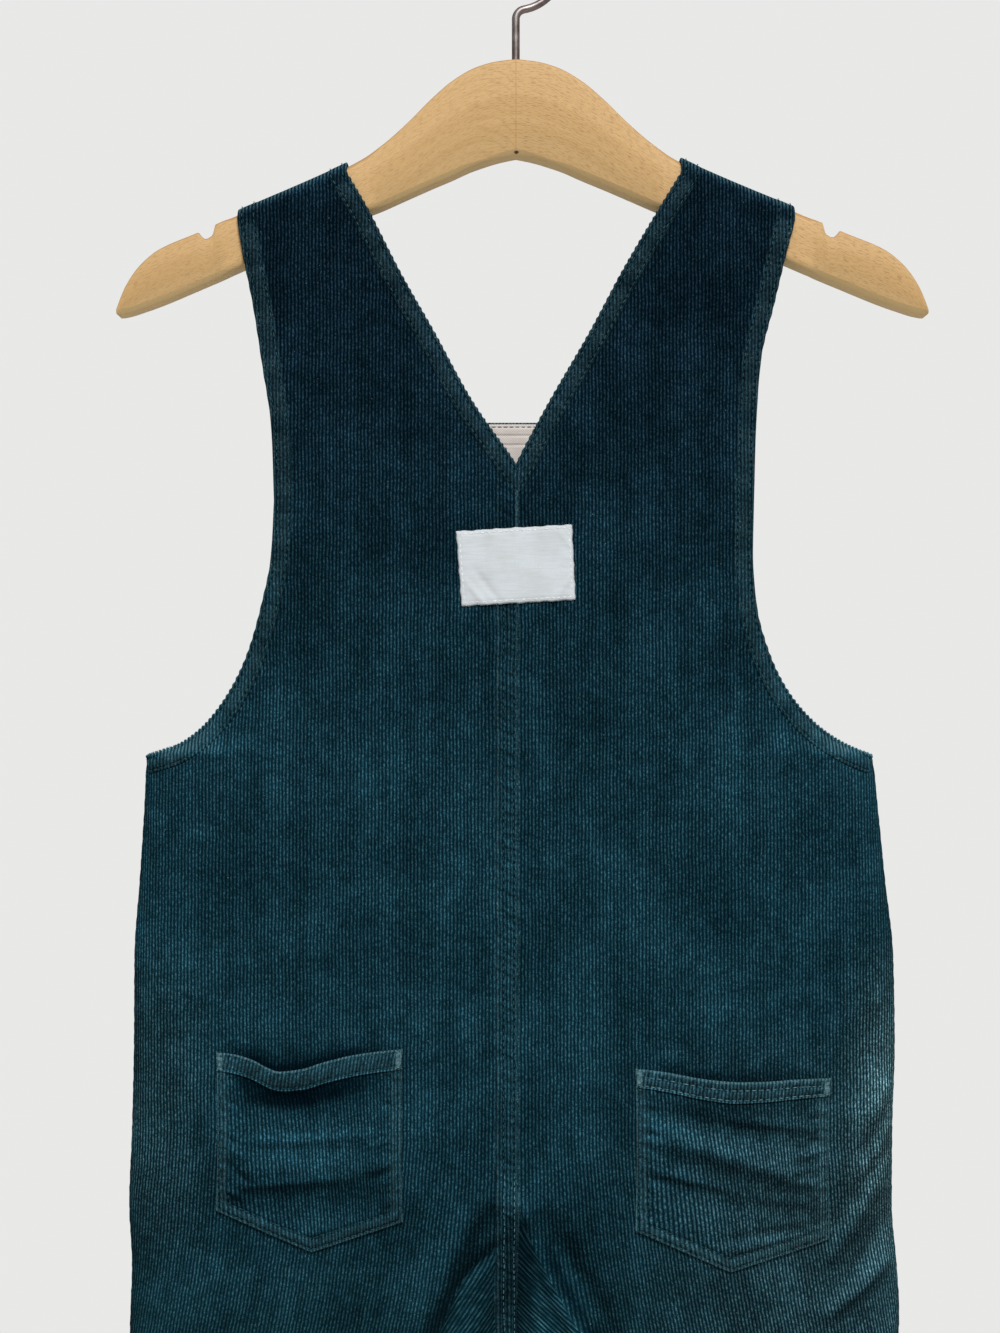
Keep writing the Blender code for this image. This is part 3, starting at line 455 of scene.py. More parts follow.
def wood_top(x):
    """Height of the hanger's top line at a distance x from its middle."""
    stretch = np.where(x < 0, HANGER_REACH / REACH["left"], HANGER_REACH / REACH["right"])
    return through([w.x for w in WOOD], [w.top for w in WOOD], np.abs(x) * stretch)


def shoulder_line(x):
    """Height at which a strap starts to bend over the hanger."""
    return wood_top(x) + OVER_LIFT - OVER_BEND


def depth_at(z, name):
    """Read one column of the depths at a height."""
    return through([d.z for d in DEPTHS], [getattr(d, name) for d in DEPTHS], z)


def relief(folds, x, z):
    """Height of the folds at places of the cloth."""
    total = np.zeros_like(x)
    for fold in folds:
        along_x, along_z = fold.x1 - fold.x0, fold.z1 - fold.z0
        length = math.hypot(along_x, along_z)
        share = ((x - fold.x0) * along_x + (z - fold.z0) * along_z) / length ** 2
        across = ((x - fold.x0) * along_z - (z - fold.z0) * along_x) / length / fold.width
        total += fold.rise * np.sin(math.pi * clamp(share)) ** 0.7 * np.exp(-across * across)
    return total


def cloth_depth(x, z, side, face, folded=True):
    """Distance of the cloth's outer face from the middle plane at x and z."""
    middle, edge, turn = depth_at(z, face), depth_at(z, face + "_edge"), depth_at(z, "turn")
    x_out = outline_x(z, side, face, "out")
    soft_out = sum(outline_x(z + away, side, face, "out") for away in SOFT_TAPS) / len(SOFT_TAPS)
    out = clamp(np.abs(x / x_out))
    out = mix(clamp(np.abs(x / soft_out)), out, ease((out - SOFT_EDGE) / (1 - SOFT_EDGE)))
    body = (1 - out ** BODY_POWER) ** turn
    legs = ease((CROTCH_START - z) / (CROTCH_START - CROTCH))
    x_in = outline_x(z, side, face, "in")
    half = np.abs(x_out - x_in) / 2
    leg = (1 - clamp(np.abs(x - (x_out + x_in) / 2) / half) ** LEG_POWER) ** mix(1.0, 0.5, legs)
    body = np.where(legs > 0, mix(body, leg, legs), body)
    depth = edge + (middle - edge) * body
    if folded:
        folds = BACK_FOLDS + BACK_CREASES if face == "back" else FRONT_FOLDS + FRONT_CREASES
        depth = depth + relief(folds, x, z) * clamp(3 * body)
    return depth


def cloth_point(x, s, side, face, folded=True):
    """Points of the cloth's outer face, as rows of x, y, z."""
    x, s = np.broadcast_arrays(np.asarray(x, dtype=float), np.asarray(s, dtype=float))
    toward = -1 if face == "back" else 1
    flat = np.stack((x, toward * cloth_depth(x, s, side, face, folded), s), axis=-1)
    if face == "front":
        return flat
    shoulder = shoulder_line(x)
    over = s - shoulder
    from_top = over - OVER_LENGTH / 2
    sign = np.where(from_top < 0, -1.0, 1.0)
    bent = (np.abs(from_top) - STRAP_FLAT) / OVER_BEND
    on_top = np.stack((x, from_top, shoulder + OVER_BEND), axis=-1)
    angle = clamp(bent, 0, math.pi / 2)
    bend_y = sign * (STRAP_FLAT + OVER_BEND * np.sin(angle))
    round_bend = np.stack((x, bend_y, shoulder + OVER_BEND * np.cos(angle)), axis=-1)
    z = shoulder - (over - OVER_LENGTH)
    on_bib = STRAP_ON_BIB * ease((STRAP_LIFT_FROM - z) / STRAP_LIFT_OVER)
    down = np.stack((x, depth_at(z, "front") + on_bib, z), axis=-1)
    point = np.where((bent <= 0)[..., None], on_top, round_bend)
    point = np.where((over >= OVER_LENGTH)[..., None], down, point)
    return np.where((over <= 0)[..., None], flat, point)


def cloth_normal(x, s, side, face):
    """Outward directions of the cloth, from points a small step apart."""
    step = 0.4
    across = cloth_point(x + step, s, side, face) - cloth_point(x - step, s, side, face)
    along = cloth_point(x, s + step, side, face) - cloth_point(x, s - step, side, face)
    normal = np.cross(across, along) * (1 if face == "back" else -1)
    return normal / np.maximum(np.linalg.norm(normal, axis=-1, keepdims=True), 1e-9)


def raised_point(x, s, height, side, face):
    """Points at a height above the cloth's outer face, with the outward direction there."""
    normal = cloth_normal(x, s, side, face)
    return cloth_point(x, s, side, face) + normal * np.asarray(height)[..., None], normal


# Rows of a piece in its cut plane

Row = namedtuple("Row", "x_out z_out x_in z_in kind over")


def run_rows(run, side, step, kind="plain"):
    """Rows along a run of edge rows, about one step apart."""
    places = list(range(len(run)))
    length = abs(run[-1].z_out - run[0].z_out)
    shares = np.linspace(0, len(run) - 1, max(2, round(length / step)) + 1)
    columns = [through(places, [getattr(row, name) for row in run], shares)
               for name in (side + "_out", "z_out", side + "_in", "z_in")]
    return [Row(*values, kind, 0.0) for values in zip(*columns)]


def over_rows(side, step):
    """Rows over the hanger, from its front face to its back face."""
    ends = [getattr(SHOULDER, name) for name in (side + "_out", "z_out", side + "_in", "z_in")]
    lengths = np.linspace(OVER_LENGTH, 0, round(OVER_LENGTH / step) + 1)[1:-1]
    return [Row(*ends, "over", length) for length in lengths]


def panel_rows(side, face, step):
    """Rows of a whole piece, from its top end down to the hem."""
    lower = run_rows(BODY, side, step)[1:] + run_rows(LEG + LEG_END[1:], side, step)[1:]
    if face == "front":
        return run_rows(FRONT_YOKE, side, step) + lower
    strap = run_rows(FRONT_STRAP, side, step, "strap") + over_rows(side, OVER_STEP["panel"])
    return strap + run_rows(BACK_STRAP, side, step) + run_rows(BACK_YOKE, side, step)[1:] + lower


def lay_row(row, across):
    """Cut plane x and s of one row at shares from its inner to its outer edge."""
    x = mix(row.x_in, row.x_out, across)
    s = mix(row.z_in, row.z_out, across)
    if row.kind == "strap":
        s = 2 * shoulder_line(x) + OVER_LENGTH - s
    if row.kind == "over":
        s = shoulder_line(x) + row.over
    return x, s


def edge_columns(width, step):
    """Shares of a row's columns, closer together at both edges."""
    near = np.array((0.0, 0.1, 0.35, 0.8, 1.4, 2.2, 3.2, 4.4, 5.8, 7.4))
    even = np.linspace(near[-1], width - near[-1], max(2, round((width - 2 * near[-1]) / step)) + 1)
    return np.concatenate((near[:-1], even, (width - near[:-1])[::-1])) / width


def arc_excess(x, points):
    """How much longer the cloth is than its flat width, from each row's middle outwards."""
    steps = np.linalg.norm(np.diff(points[..., :2], axis=1), axis=-1) - np.abs(np.diff(x, axis=1))
    total = np.concatenate((np.zeros((len(x), 1)), np.cumsum(np.maximum(steps, 0), axis=1)), axis=1)
    return total - total[:, x.shape[1] // 2][:, None]


# Meshes and objects


def add_piece(name, mesh, material, replaced=()):
    """Put a mesh in the scene as a piece that rides with the part."""
    item = bpy.data.objects.new(name, mesh)
    bpy.context.scene.collection.objects.link(item)
    if material:
        mesh.materials.append(material)
    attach(item, "root")
    if replaced:
        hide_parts(*replaced)
    return item


def grid_mesh(name, points, cloth_uv, worn=None, closed=False, leaning=None):
    """Smooth mesh through a grid of points, with its place on the cloth as its UV map."""
    rows, wide = points.shape[:2]
    index = np.arange(rows * wide).reshape(rows, wide)
    if closed:
        index = np.concatenate((index, index[:, :1]), axis=1)
    a, b, c, d = index[:-1, :-1], index[:-1, 1:], index[1:, 1:], index[1:, :-1]
    faces = np.stack((a, b, c, d), axis=-1).reshape(-1, 4)
    mesh = bpy.data.meshes.new(name)
    mesh.vertices.add(rows * wide)
    mesh.vertices.foreach_set("co", (points.reshape(-1, 3) * MM).ravel().astype(np.float32))
    mesh.loops.add(faces.size)
    mesh.loops.foreach_set("vertex_index", faces.ravel().astype(np.int32))
    mesh.polygons.add(len(faces))
    mesh.polygons.foreach_set("loop_start", np.arange(0, faces.size, 4, dtype=np.int32))
    mesh.update(calc_edges=True)
    place = cloth_uv.reshape(-1, 2)[faces.ravel()] / UV_UNIT
    layer = mesh.uv_layers.new(name="cloth")
    layer.data.foreach_set("uv", place.ravel().astype(np.float32))
    # Per-point marks: wear and lines where above zero, painted shade where below zero.
    if worn is not None:
        mark = mesh.attributes.new("worn", "FLOAT", "POINT")
        mark.data.foreach_set("value", np.broadcast_to(worn, (rows, wide)).ravel().astype(np.float32))
    if leaning is not None:
        mark = mesh.attributes.new("leaning", "FLOAT_VECTOR", "POINT")
        mark.data.foreach_set("vector", (leaning.reshape(-1, 3) / UV_UNIT).ravel().astype(np.float32))
    mesh.validate()
    mesh.shade_smooth()
    return mesh


def cloth_piece(name, points, place, outward, material, worn=None, replaced=(), wall=None,
                leaning=None):
    """A piece of cloth through a grid of points, turned to face outwards, with its wall inside."""
    mesh = grid_mesh(name, points, np.stack(np.broadcast_arrays(*place), axis=-1), worn, leaning=leaning)
    normal = np.zeros(len(mesh.vertices) * 3, dtype=np.float32)
    mesh.vertices.foreach_get("normal", normal)
    if float((normal.reshape(-1, 3) * np.broadcast_to(outward, points.shape).reshape(-1, 3)).sum()) < 0:
        mesh.flip_normals()
    item = add_piece(name, mesh, material, replaced)
    if wall:
        sheet = item.modifiers.new("wall", "SOLIDIFY")
        sheet.thickness = wall * MM
        sheet.offset = -1.0
    return item


# Panels


def build_panel(side, face, material):
    """One back or front piece as a walled sheet; returns it with its cut size and area."""
    rows = panel_rows(side, face, PANEL_STEP[face])
    across = edge_columns(max(abs(row.x_out - row.x_in) for row in rows), PANEL_COLUMN[face])
    x, s = (np.array(part) for part in zip(*(lay_row(row, across) for row in rows)))
    u = x + SIDES[side] * arc_excess(x, cloth_point(x, s, side, face, folded=False))
    name, grain, worn, leaning = face + "_" + side, u, None, None
    if face == "back":
        grain, leaning = grain_u(x, u, s), leaning_place(x, s, side)
        # Painted shadows above and inside the pocket mouths and in the tucks beside the crotch seam.
        worn = mouth_shadow(x, s, side) + tuck_shadow(x, s, side)
    item = cloth_piece(name + "_cloth", cloth_point(x, s, side, face), (grain, s), cloth_normal(x, s, side, face),
                       material, worn, replaced=(name,), wall=CLOTH_WALL, leaning=leaning)
    cell = np.abs(np.diff(x, axis=1)[:-1] * np.diff(s, axis=0)[:, :-1])
    return item, (np.ptp(u), np.ptp(s)), float(cell.sum())


def mouth_shadow(x, s, side):
    """Shade on the back just above and inside its pocket's mouth."""
    pocket = POCKETS[side]
    across = clamp((x - pocket.x_left) / (pocket.x_right - pocket.x_left))
    above = s - mouth_line(side, across)
    held = ease(across / 0.2) * ease((1 - across) / 0.3)
    return -MOUTH_SHADOW[side] * held * bell(clamp(above, 0, 90), 0, MOUTH_WIDE) * (above > -9)


def tuck_shadow(x, s, side):
    """Shade where the cloth tucks in under the leaning wales' edge beside the crotch."""
    places, line = zip(*LEAN_LINES[side])
    past = SIDES[side] * (x - through(places, line, s))
    deep = ease((LEANS[side].start - TUCK_BELOW - s) / (2 * TUCK_BELOW)) * ease((s + 640) / 40)
    return -TUCK_SHADOW[side] * deep * np.exp(-((past - TUCK_PAST) / TUCK_WIDE) ** 4)


def grain_u(x, u, s):
    """Cloth place across, leaning outwards on the legs."""
    below = clamp(LEAN_START - s, 0, LEAN_RUN)
    leaning = LEG_LEAN * (below - LEAN_RUN / math.pi * np.sin(math.pi * below / LEAN_RUN) / 2)
    return u - np.sign(x) * leaning * clamp(np.abs(x) / LEG_LEAN_FROM)


def leaning_place(x, s, side):
    """Place on the wales that lean over beside the crotch, and how far inside them."""
    lean, sign = LEANS[side], SIDES[side]
    run = clamp(lean.start - s, 0, 400)
    aside = lean.aside * (run - lean.within * (1 - np.exp(-run / lean.within)))
    across = lean.across * sign * x - aside
    along = s * lean.across + sign * x * lean.aside
    places, line = zip(*LEAN_LINES[side])
    within = sign * (through(places, line, s) - x)
    within = np.minimum(within, (lean.start + 12.0 - s) * 0.5)
    return np.stack((across, along, within), axis=-1)


# Hems and the felled seam


def resample(x, s, step):
    """Points at even steps along a line in the cut plane, with its direction there."""
    length = run_length(np.stack((x, s), axis=-1))
    count = max(2, round(length[-1] / step))
    at = np.linspace(0, length[-1], count + 1)
    x, s = np.interp(at, length, x), np.interp(at, length, s)
    smooth = np.array((1, 2, 3, 2, 1)) / 9
    way = np.stack((np.gradient(x), np.gradient(s)), axis=-1)
    for axis in (0, 1):
        padded = np.pad(way[:, axis], 2, mode="edge")
        way[:, axis] = np.convolve(padded, smooth, mode="valid")
    way /= np.linalg.norm(way, axis=-1, keepdims=True)
    return x, s, way, at


def hem_edge(side, face, end, beyond=0.0):
    """A free edge of a piece in its cut plane, carried on straight at its lower end."""
    if face == "front":
        rows = run_rows(FRONT_YOKE, side, EDGE_STEP)
    else:
        rows = run_rows(FRONT_STRAP, side, EDGE_STEP, "strap") + over_rows(side, OVER_STEP["hem"])
        rows += run_rows(BACK_STRAP, side, EDGE_STEP)
        if end == "out":
            rows += run_rows(BACK_YOKE, side, EDGE_STEP)[1:]
    share = np.array([1.0 if end == "out" else 0.0])
    x, s = (np.concatenate(part) for part in zip(*(lay_row(row, share) for row in rows)))
    if beyond:
        way = np.array((x[-1] - x[-4], s[-1] - s[-4]))
        way /= np.linalg.norm(way)
        x, s = np.append(x, x[-1] + way[0] * beyond), np.append(s, s[-1] + way[1] * beyond)
    return x, s


def inward_of(way, side, end):
    """Direction from an edge into the cloth."""
    sign = SIDES[side] * (1 if end == "in" else -1)
    inward = np.stack((-way[:, 1], way[:, 0]), axis=-1)
    return inward * np.sign(inward[:, :1].mean() * sign)


HemPoint = namedtuple("HemPoint", "inset height worn scallop")
# Section of a rolled hem, from behind the cloth round the rim to its sewn edge
HEM_SHAPE = rows_of(
    HemPoint, (6.9, -2, 0, 0), (4, -2.2, 0, 0), (1.2, -2.2, 0, 0.1), (0.35, -2, 0.1, 0.5),
    (-0.1, -1.5, 0.25, 0.8), (-0.32, -0.8, 0.45, 1), (-0.3, -0.1, 0.6, 1), (-0.08, 0.45, 0.6, 1),
    (0.3, 0.78, 0.5, 0.8), (0.75, 0.86, 0.35, 0.5), (1.15, 0.72, 0.15, 0.3), (1.5, 0.52, 0, 0.1),
    (1.85, 0.72, 0.15, 0), (2.4, 0.92, 0.25, 0), (3.4, 1, 0.15, 0), (4.6, 0.98, 0.15, 0),
    (5.5, 0.84, 0.25, 0), (5.95, 0.64, 0.15, 0), (6.25, 0.5, 0, 0), (6.55, 0.58, 0.15, 0),
    (6.95, 0.5, 0.3, 0), (7.3, 0.22, 0.15, 0), (7.6, -0.15, 0, 0),
)
HEM_STITCHES = (1.5, 6.25)
SCALLOP_IN = 0.42
SCALLOP_UP = 0.22


def hem_strip(name, side, face, line, end, keep, material, stitches):
    """Rolled hem along an edge, with scallops where the wales run across it."""
    x, s, way, at = resample(*line, HEM_STEP)
    inward = inward_of(way, side, end)
    inset, height, worn, scallop = (np.array(column)[None, :] for column in zip(*HEM_SHAPE))
    slope = np.abs(way[:, :1])
    phase = 2 * math.pi * x[:, None] / WALE
    wave = np.cos(phase + 0.5 * uneven(at, 23, 1.0)[:, None])
    inset = inset - SCALLOP_IN * scallop * slope * wave
    between = bell(inset, 3.8, 1.6)
    pucker = 0.16 * uneven(at, 5.2, 2.0 + len(name))[:, None] * between
    rim = 0.1 * uneven(at, 11, 3.0)[:, None] * (inset < 1)
    height = height + pucker + rim + SCALLOP_UP * scallop * slope * wave
    if face == "back":
        over = ease((s - shoulder_line(x) + 9) / 9)[:, None]
        height = np.where(height > 0, height * (1 - 0.85 * over), height)
    plane_x = x[:, None] + inward[:, :1] * inset
    plane_s = s[:, None] + inward[:, 1:] * inset
    plane_x, plane_s = keep(plane_x, plane_s)
    points, normal = raised_point(plane_x, plane_s, height, side, face)
    holes = sum(bell(inset, row, 0.3) for row in HEM_STITCHES)
    worn = (0.6 * worn + 0.2 * (height > 0.3)) * clamp(0.75 + 0.5 * uneven(at, 17, 5.0)[:, None], 0, 1)
    # Painted shade at each stitch hole, where the cloth is drawn in.
    worn = clamp(worn - 0.8 * holes * stitch_pull(at)[:, None], -1, 1)
    top = HEM_SHAPE.index(max(HEM_SHAPE, key=lambda p: p.height))
    outward = np.zeros_like(points)
    outward[:, top - 2:top + 3] = normal[:, top - 2:top + 3]
    item = cloth_piece(name, points, (plane_x, plane_s), outward, material, worn)
    for place in HEM_STITCHES:
        line_x = x + inward[:, 0] * place
        held_x, held_s = keep(line_x, s + inward[:, 1] * place)
        shown = np.abs(held_x - line_x) < 0.01
        stitches.append(raised_point(held_x[shown], held_s[shown], STITCH_LIFT, side, face))
    return item


def keep_side(side):
    """Hold cut plane points on their own side of the centre seam, the left just over it."""
    sign, least = SIDES[side], -0.4 if side == "left" else HALF_GAP

    def keep(x, s):
        return sign * np.maximum(sign * x, least), s

    return keep


def keep_all(x, s):
    return x, s


def build_hems(side, material, stitches):
    """Hems of one side: the back's neck and armhole, and the front's armhole apart."""
    neck_x, neck_s = hem_edge(side, "back", "in", 9.0)
    neck_x = neck_x + SIDES[side] * 0.3 * bell(neck_s, NECK_POINT, 3.0)
    neck = hem_strip("neck_hem_" + side, side, "back", (neck_x, neck_s), "in", keep_side(side), material, stitches)
    back, front = (
        hem_strip(name + side, side, face, hem_edge(side, face, "out"), "out", keep_all, material, stitches)
        for name, face in (("armhole_hem_", "back"), ("front_armhole_hem_", "front"))
    )
    return [neck, back], front


SeamPoint = namedtuple("SeamPoint", "across height worn")
# Section of the felled seam, from the left across to the centre seam's ridge
# Its third column is wear where above zero and painted shade in the stitch dips where below zero.
FELLED_SHAPE = rows_of(
    SeamPoint, (-8.7, -0.3, 0), (-8.3, 0.15, 0.1), (-7.9, 0.42, 0.3), (-7.3, 0.55, 0.3), (-6.6, 0.5, 0.1),
    (-5.9, 0.36, 0), (-5.3, 0.2, -0.3), (-4.9, 0.1, -0.7), (-4.5, 0.22, -0.3), (-3.9, 0.5, 0),
    (-3.1, 0.72, 0.15), (-2.3, 0.72, 0.12), (-1.6, 0.55, 0), (-1.1, 0.3, -0.3), (-0.8, 0.2, -0.7),
    (-0.5, 0.35, -0.2), (-0.1, 0.7, 0.35), (0.3, 0.85, 0.55), (0.7, 0.75, 0.5), (1, 0.4, 0.2),
    (1.15, -0.1, -0.4), (1.15, -0.5, -0.6),
)
FELLED_STITCHES = (-0.8, -4.9)


def seam_x(s):
    """Sideways wander of the centre seam's stitching."""
    return 0.3 * uneven(s, 60, 2.0)


def stitch_pull(s):
    """How far the cloth is drawn in along a row of stitches, 1 at each hole."""
    return 0.5 + 0.5 * np.cos(2 * math.pi * s / STITCH_PITCH)


def build_felled_seam(face, low, material, stitches, pale):
    """Felled band beside a centre seam, puckered by its two rows of stitches."""
    top = NECK_POINT - 2.0 if face == "back" else BIB_TOP - 0.5
    s = np.linspace(top, low, round((top - low) / FELLED_STEP) + 1)
    across, height, worn = (np.array(column)[None, :] for column in zip(*FELLED_SHAPE))
    wide = 1 + 0.07 * uneven(s, 34, 6.0) + 0.03 * uneven(s, 9, 7.0)
    plane_x = across * wide[:, None] + seam_x(s)[:, None]
    plane_x = np.where(across > -0.2, np.maximum(plane_x, 0.4 + 0.5 * across), plane_x)
    plane_s = s[:, None]
    hold = bell(across, -2.8, 1.5) + 0.7 * bell(across, -6.9, 0.9)
    fade = mix(1.0, 0.15, ease((s - LABEL[2][1]) / 6)) if face == "back" else 1.0 + 0 * s
    ridge = np.where(across > -0.3, 1.0, 0.0)
    height = height + 0.34 * uneven(plane_s + 0.5 * across, 4.6, 4.0) * hold
    height = height + 0.25 * uneven(s, 3.6, 8.0)[:, None] * bell(across, 0.4, 0.5)
    height = height * mix(0.75, 1.0, fade)[:, None]
    points, normal = raised_point(plane_x, plane_s, height, "left", face)
    holes = stitch_pull(s)[:, None]
    # Painted shade in the stitch dips pulses with each hole; the crest's wear varies along the seam.
    worn = worn * np.where(worn < 0, holes, 0.8 + 0.6 * uneven(s, 13, 9.0)[:, None])
    worn = clamp(worn * mix(fade[:, None], 1.0 + 3.2 * (1 - fade[:, None]), ridge), -1, 1)
    item = cloth_piece("felled_seam_" + face, points, (plane_x, plane_s), normal * (height > 0.3)[..., None],
                       material, worn)
    for rows, sewn in ((stitches, (fade > 0.5) & (s > PALE_STITCHES)), (pale, s <= PALE_STITCHES)):
        for place in FELLED_STITCHES:
            line_x = (place * wide + seam_x(s))[sewn]
            if len(line_x) > 1:
                rows.append(raised_point(line_x, s[sewn], FELLED_STITCH_LIFT, "left", face))
    return item


# Section of a closed side seam: the share from back to front, and how proud it stands
SIDE_SHAPE = ((-1.3, -0.6), (-1.0, 0.05), (-0.6, 0.3), (-0.15, 0.22), (0.0, 0.0),
              (0.15, 0.22), (0.6, 0.3), (1.0, 0.05), (1.3, -0.6))


def build_side_seam(side, end, top, material):
    """Closed seam between a back and a front piece, down a side or an inside leg."""
    s = np.linspace(top, HEM + 0.2, round((top - HEM) / EDGE_STEP) + 1)
    share, proud = (np.array(column)[None, :] for column in zip(*SIDE_SHAPE))
    edges = [outline_x(s, side, face, end) for face in ("back", "front")]
    back = cloth_point(edges[0], s, side, "back")[..., 1]
    front = cloth_point(edges[1], s, side, "front")[..., 1]
    half = np.maximum((front - back) / 2, 0.9)[:, None]
    y = ((front + back) / 2)[:, None] + half * share
    away = SIDES[side] * (1 if end == "out" else -1)
    edge = mix(edges[0][:, None], edges[1][:, None], clamp(share / 2 + 0.5))
    x = edge + away * proud * (1 + 0.5 * uneven(s, 6.0, 2.0)[:, None])
    points = np.stack((x, y, np.broadcast_to(s[:, None], x.shape)), axis=-1)
    name = ("side_seam_" if end == "out" else "inside_leg_seam_") + side
    return cloth_piece(name, points, (x + y, points[..., 2]), (away, 0.0, 0.0), material, wall=SEAM_WALL)


# Sections of a leg hem and of the bib hem: place in from the edge, and height
CUFF_SHAPE = (
    (-0.1, -1.6), (-0.35, -0.9), (-0.3, -0.1), (0.0, 0.5), (0.6, 0.85), (2.0, 0.95), (6.0, 0.9),
    (11.0, 0.9), (12.6, 0.8), (13.2, 0.5), (13.8, 0.72), (14.6, 0.6), (15.2, 0.2), (15.6, -0.2),
)
CUFF_STITCH = 13.2


def build_cuff(side, face, material, stitches):
    """Turned-up hem at the end of one leg piece."""
    above, height = (np.array(column) for column in zip(*CUFF_SHAPE))
    s = HEM + above
    x_out, x_in = outline_x(s, side, face, "out"), outline_x(s, side, face, "in")
    across = edge_columns(abs(x_out[0] - x_in[0]), 0.8)
    plane_x = mix(x_in[:, None], x_out[:, None], across[None, :])
    plane_s = s[:, None]
    middle = bell(above[:, None], 7, 4)
    height = height[:, None] + 0.25 * uneven(plane_x, 7, 3.0) * middle
    points, normal = raised_point(plane_x, plane_s, height, side, face)
    item = cloth_piece(face + "_cuff_" + side, points, (plane_x, plane_s), normal * (above > 2)[:, None, None],
                       material, np.where(above < 1.0, 0.9, 0.25)[:, None])
    line_x = mix(x_in[-5], x_out[-5], across)
    stitches.append(raised_point(line_x, HEM + CUFF_STITCH, STITCH_LIFT, side, face))
    return item


# Pockets, label and facing


def corner_mix(corners, across, down):
    """Place inside a four cornered piece, at shares across and down."""
    top_left, top_right, low_right, low_left = (np.array(corner) for corner in corners)
    top = mix(top_left, top_right, across[..., None])
    low = mix(low_left, low_right, across[..., None])
    return mix(top, low, down[..., None])


def mouth_line(side, across):
    """How high a pocket's mouth runs, at a share across it."""
    pocket = POCKETS[side]
    return mix(pocket.top_left, pocket.top_right, across) - pocket.sag * through(*zip(*SAG_LINE[side]), across)


def pocket_plane(side, across, down):
    """Cut plane place on a pocket, at shares across and down."""
    pocket = POCKETS[side]
    x = mix(pocket.x_left, pocket.x_right, across)
    top = mouth_line(side, across)
    low = np.interp(x, (pocket.x_left, pocket.x_point, pocket.x_right),
                    (pocket.low_left, pocket.point, pocket.low_right))
    bow = 1.2 * np.sin(math.pi * down) * (across - 0.5) * 2
    return x - bow * 0.5, mix(top, low, down)


def pocket_rims(across, down, wide, tall):
    """Distances from a pocket's sides, top, low edge and sewn edge, with its hem and the run along it."""
    from_side = np.minimum(across, 1 - across) * wide
    from_top, from_low = down * tall, (1 - down) * tall
    hem = ease((POCKET_HEM + 0.4 - from_top) / 0.8)
    run = np.where(from_side < from_low, from_top, across * wide)
    return from_side, from_top, from_low, np.minimum(from_side, from_low), hem, run


def pocket_height(side, across, down, wide, tall):
    """Height of a pocket's outer face over the back: its cloth, hem, gape and wrinkles."""
    pocket = POCKETS[side]
    from_side, from_top, from_low, from_edge, hem, run = pocket_rims(across, down, wide, tall)
    x, s = pocket_plane(side, across, down)
    sag = np.sin(math.pi * clamp(across * 1.15)) ** 2
    height = POCKET_LIFT + 1.3 + pocket.gape * sag * (1 - ease(down * 2.6))
    held = ease(from_side / 7) * ease(from_low / 8)
    height = height + relief(POCKET_CREASES[side], x, s) * held
    height = POCKET_LEAST + np.log1p(np.exp(3 * (height - POCKET_LEAST))) / 3
    height = height + (0.8 + 0.9 * sag * (pocket.gape > 3)) * hem
    height = height + 0.3 * bell(from_edge, 2.6, 1.2) * uneven(run, 5.0, 3.0 + pocket.sag)
    height = height + 0.3 * bell(from_edge, 6.0, 2.2) * uneven(run, 8.0, 1.0 + pocket.sag)
    height = height + 0.28 * hem * uneven(across * wide + from_top, 6.0, 5.0 + pocket.sag)
    for row in POCKET_STITCHES:
        height = height - 0.34 * bell(from_edge, row, 0.45) * (from_top > 1)
    for row in POCKET_HEM_STITCHES[side]:
        height = height - 0.3 * bell(from_top, row, 0.45) * (from_side > 1)
    round_off = clamp(np.minimum(from_edge, from_top) / 0.8)
    return height - 1.1 * (1 - np.sqrt(1 - (1 - round_off) ** 2))


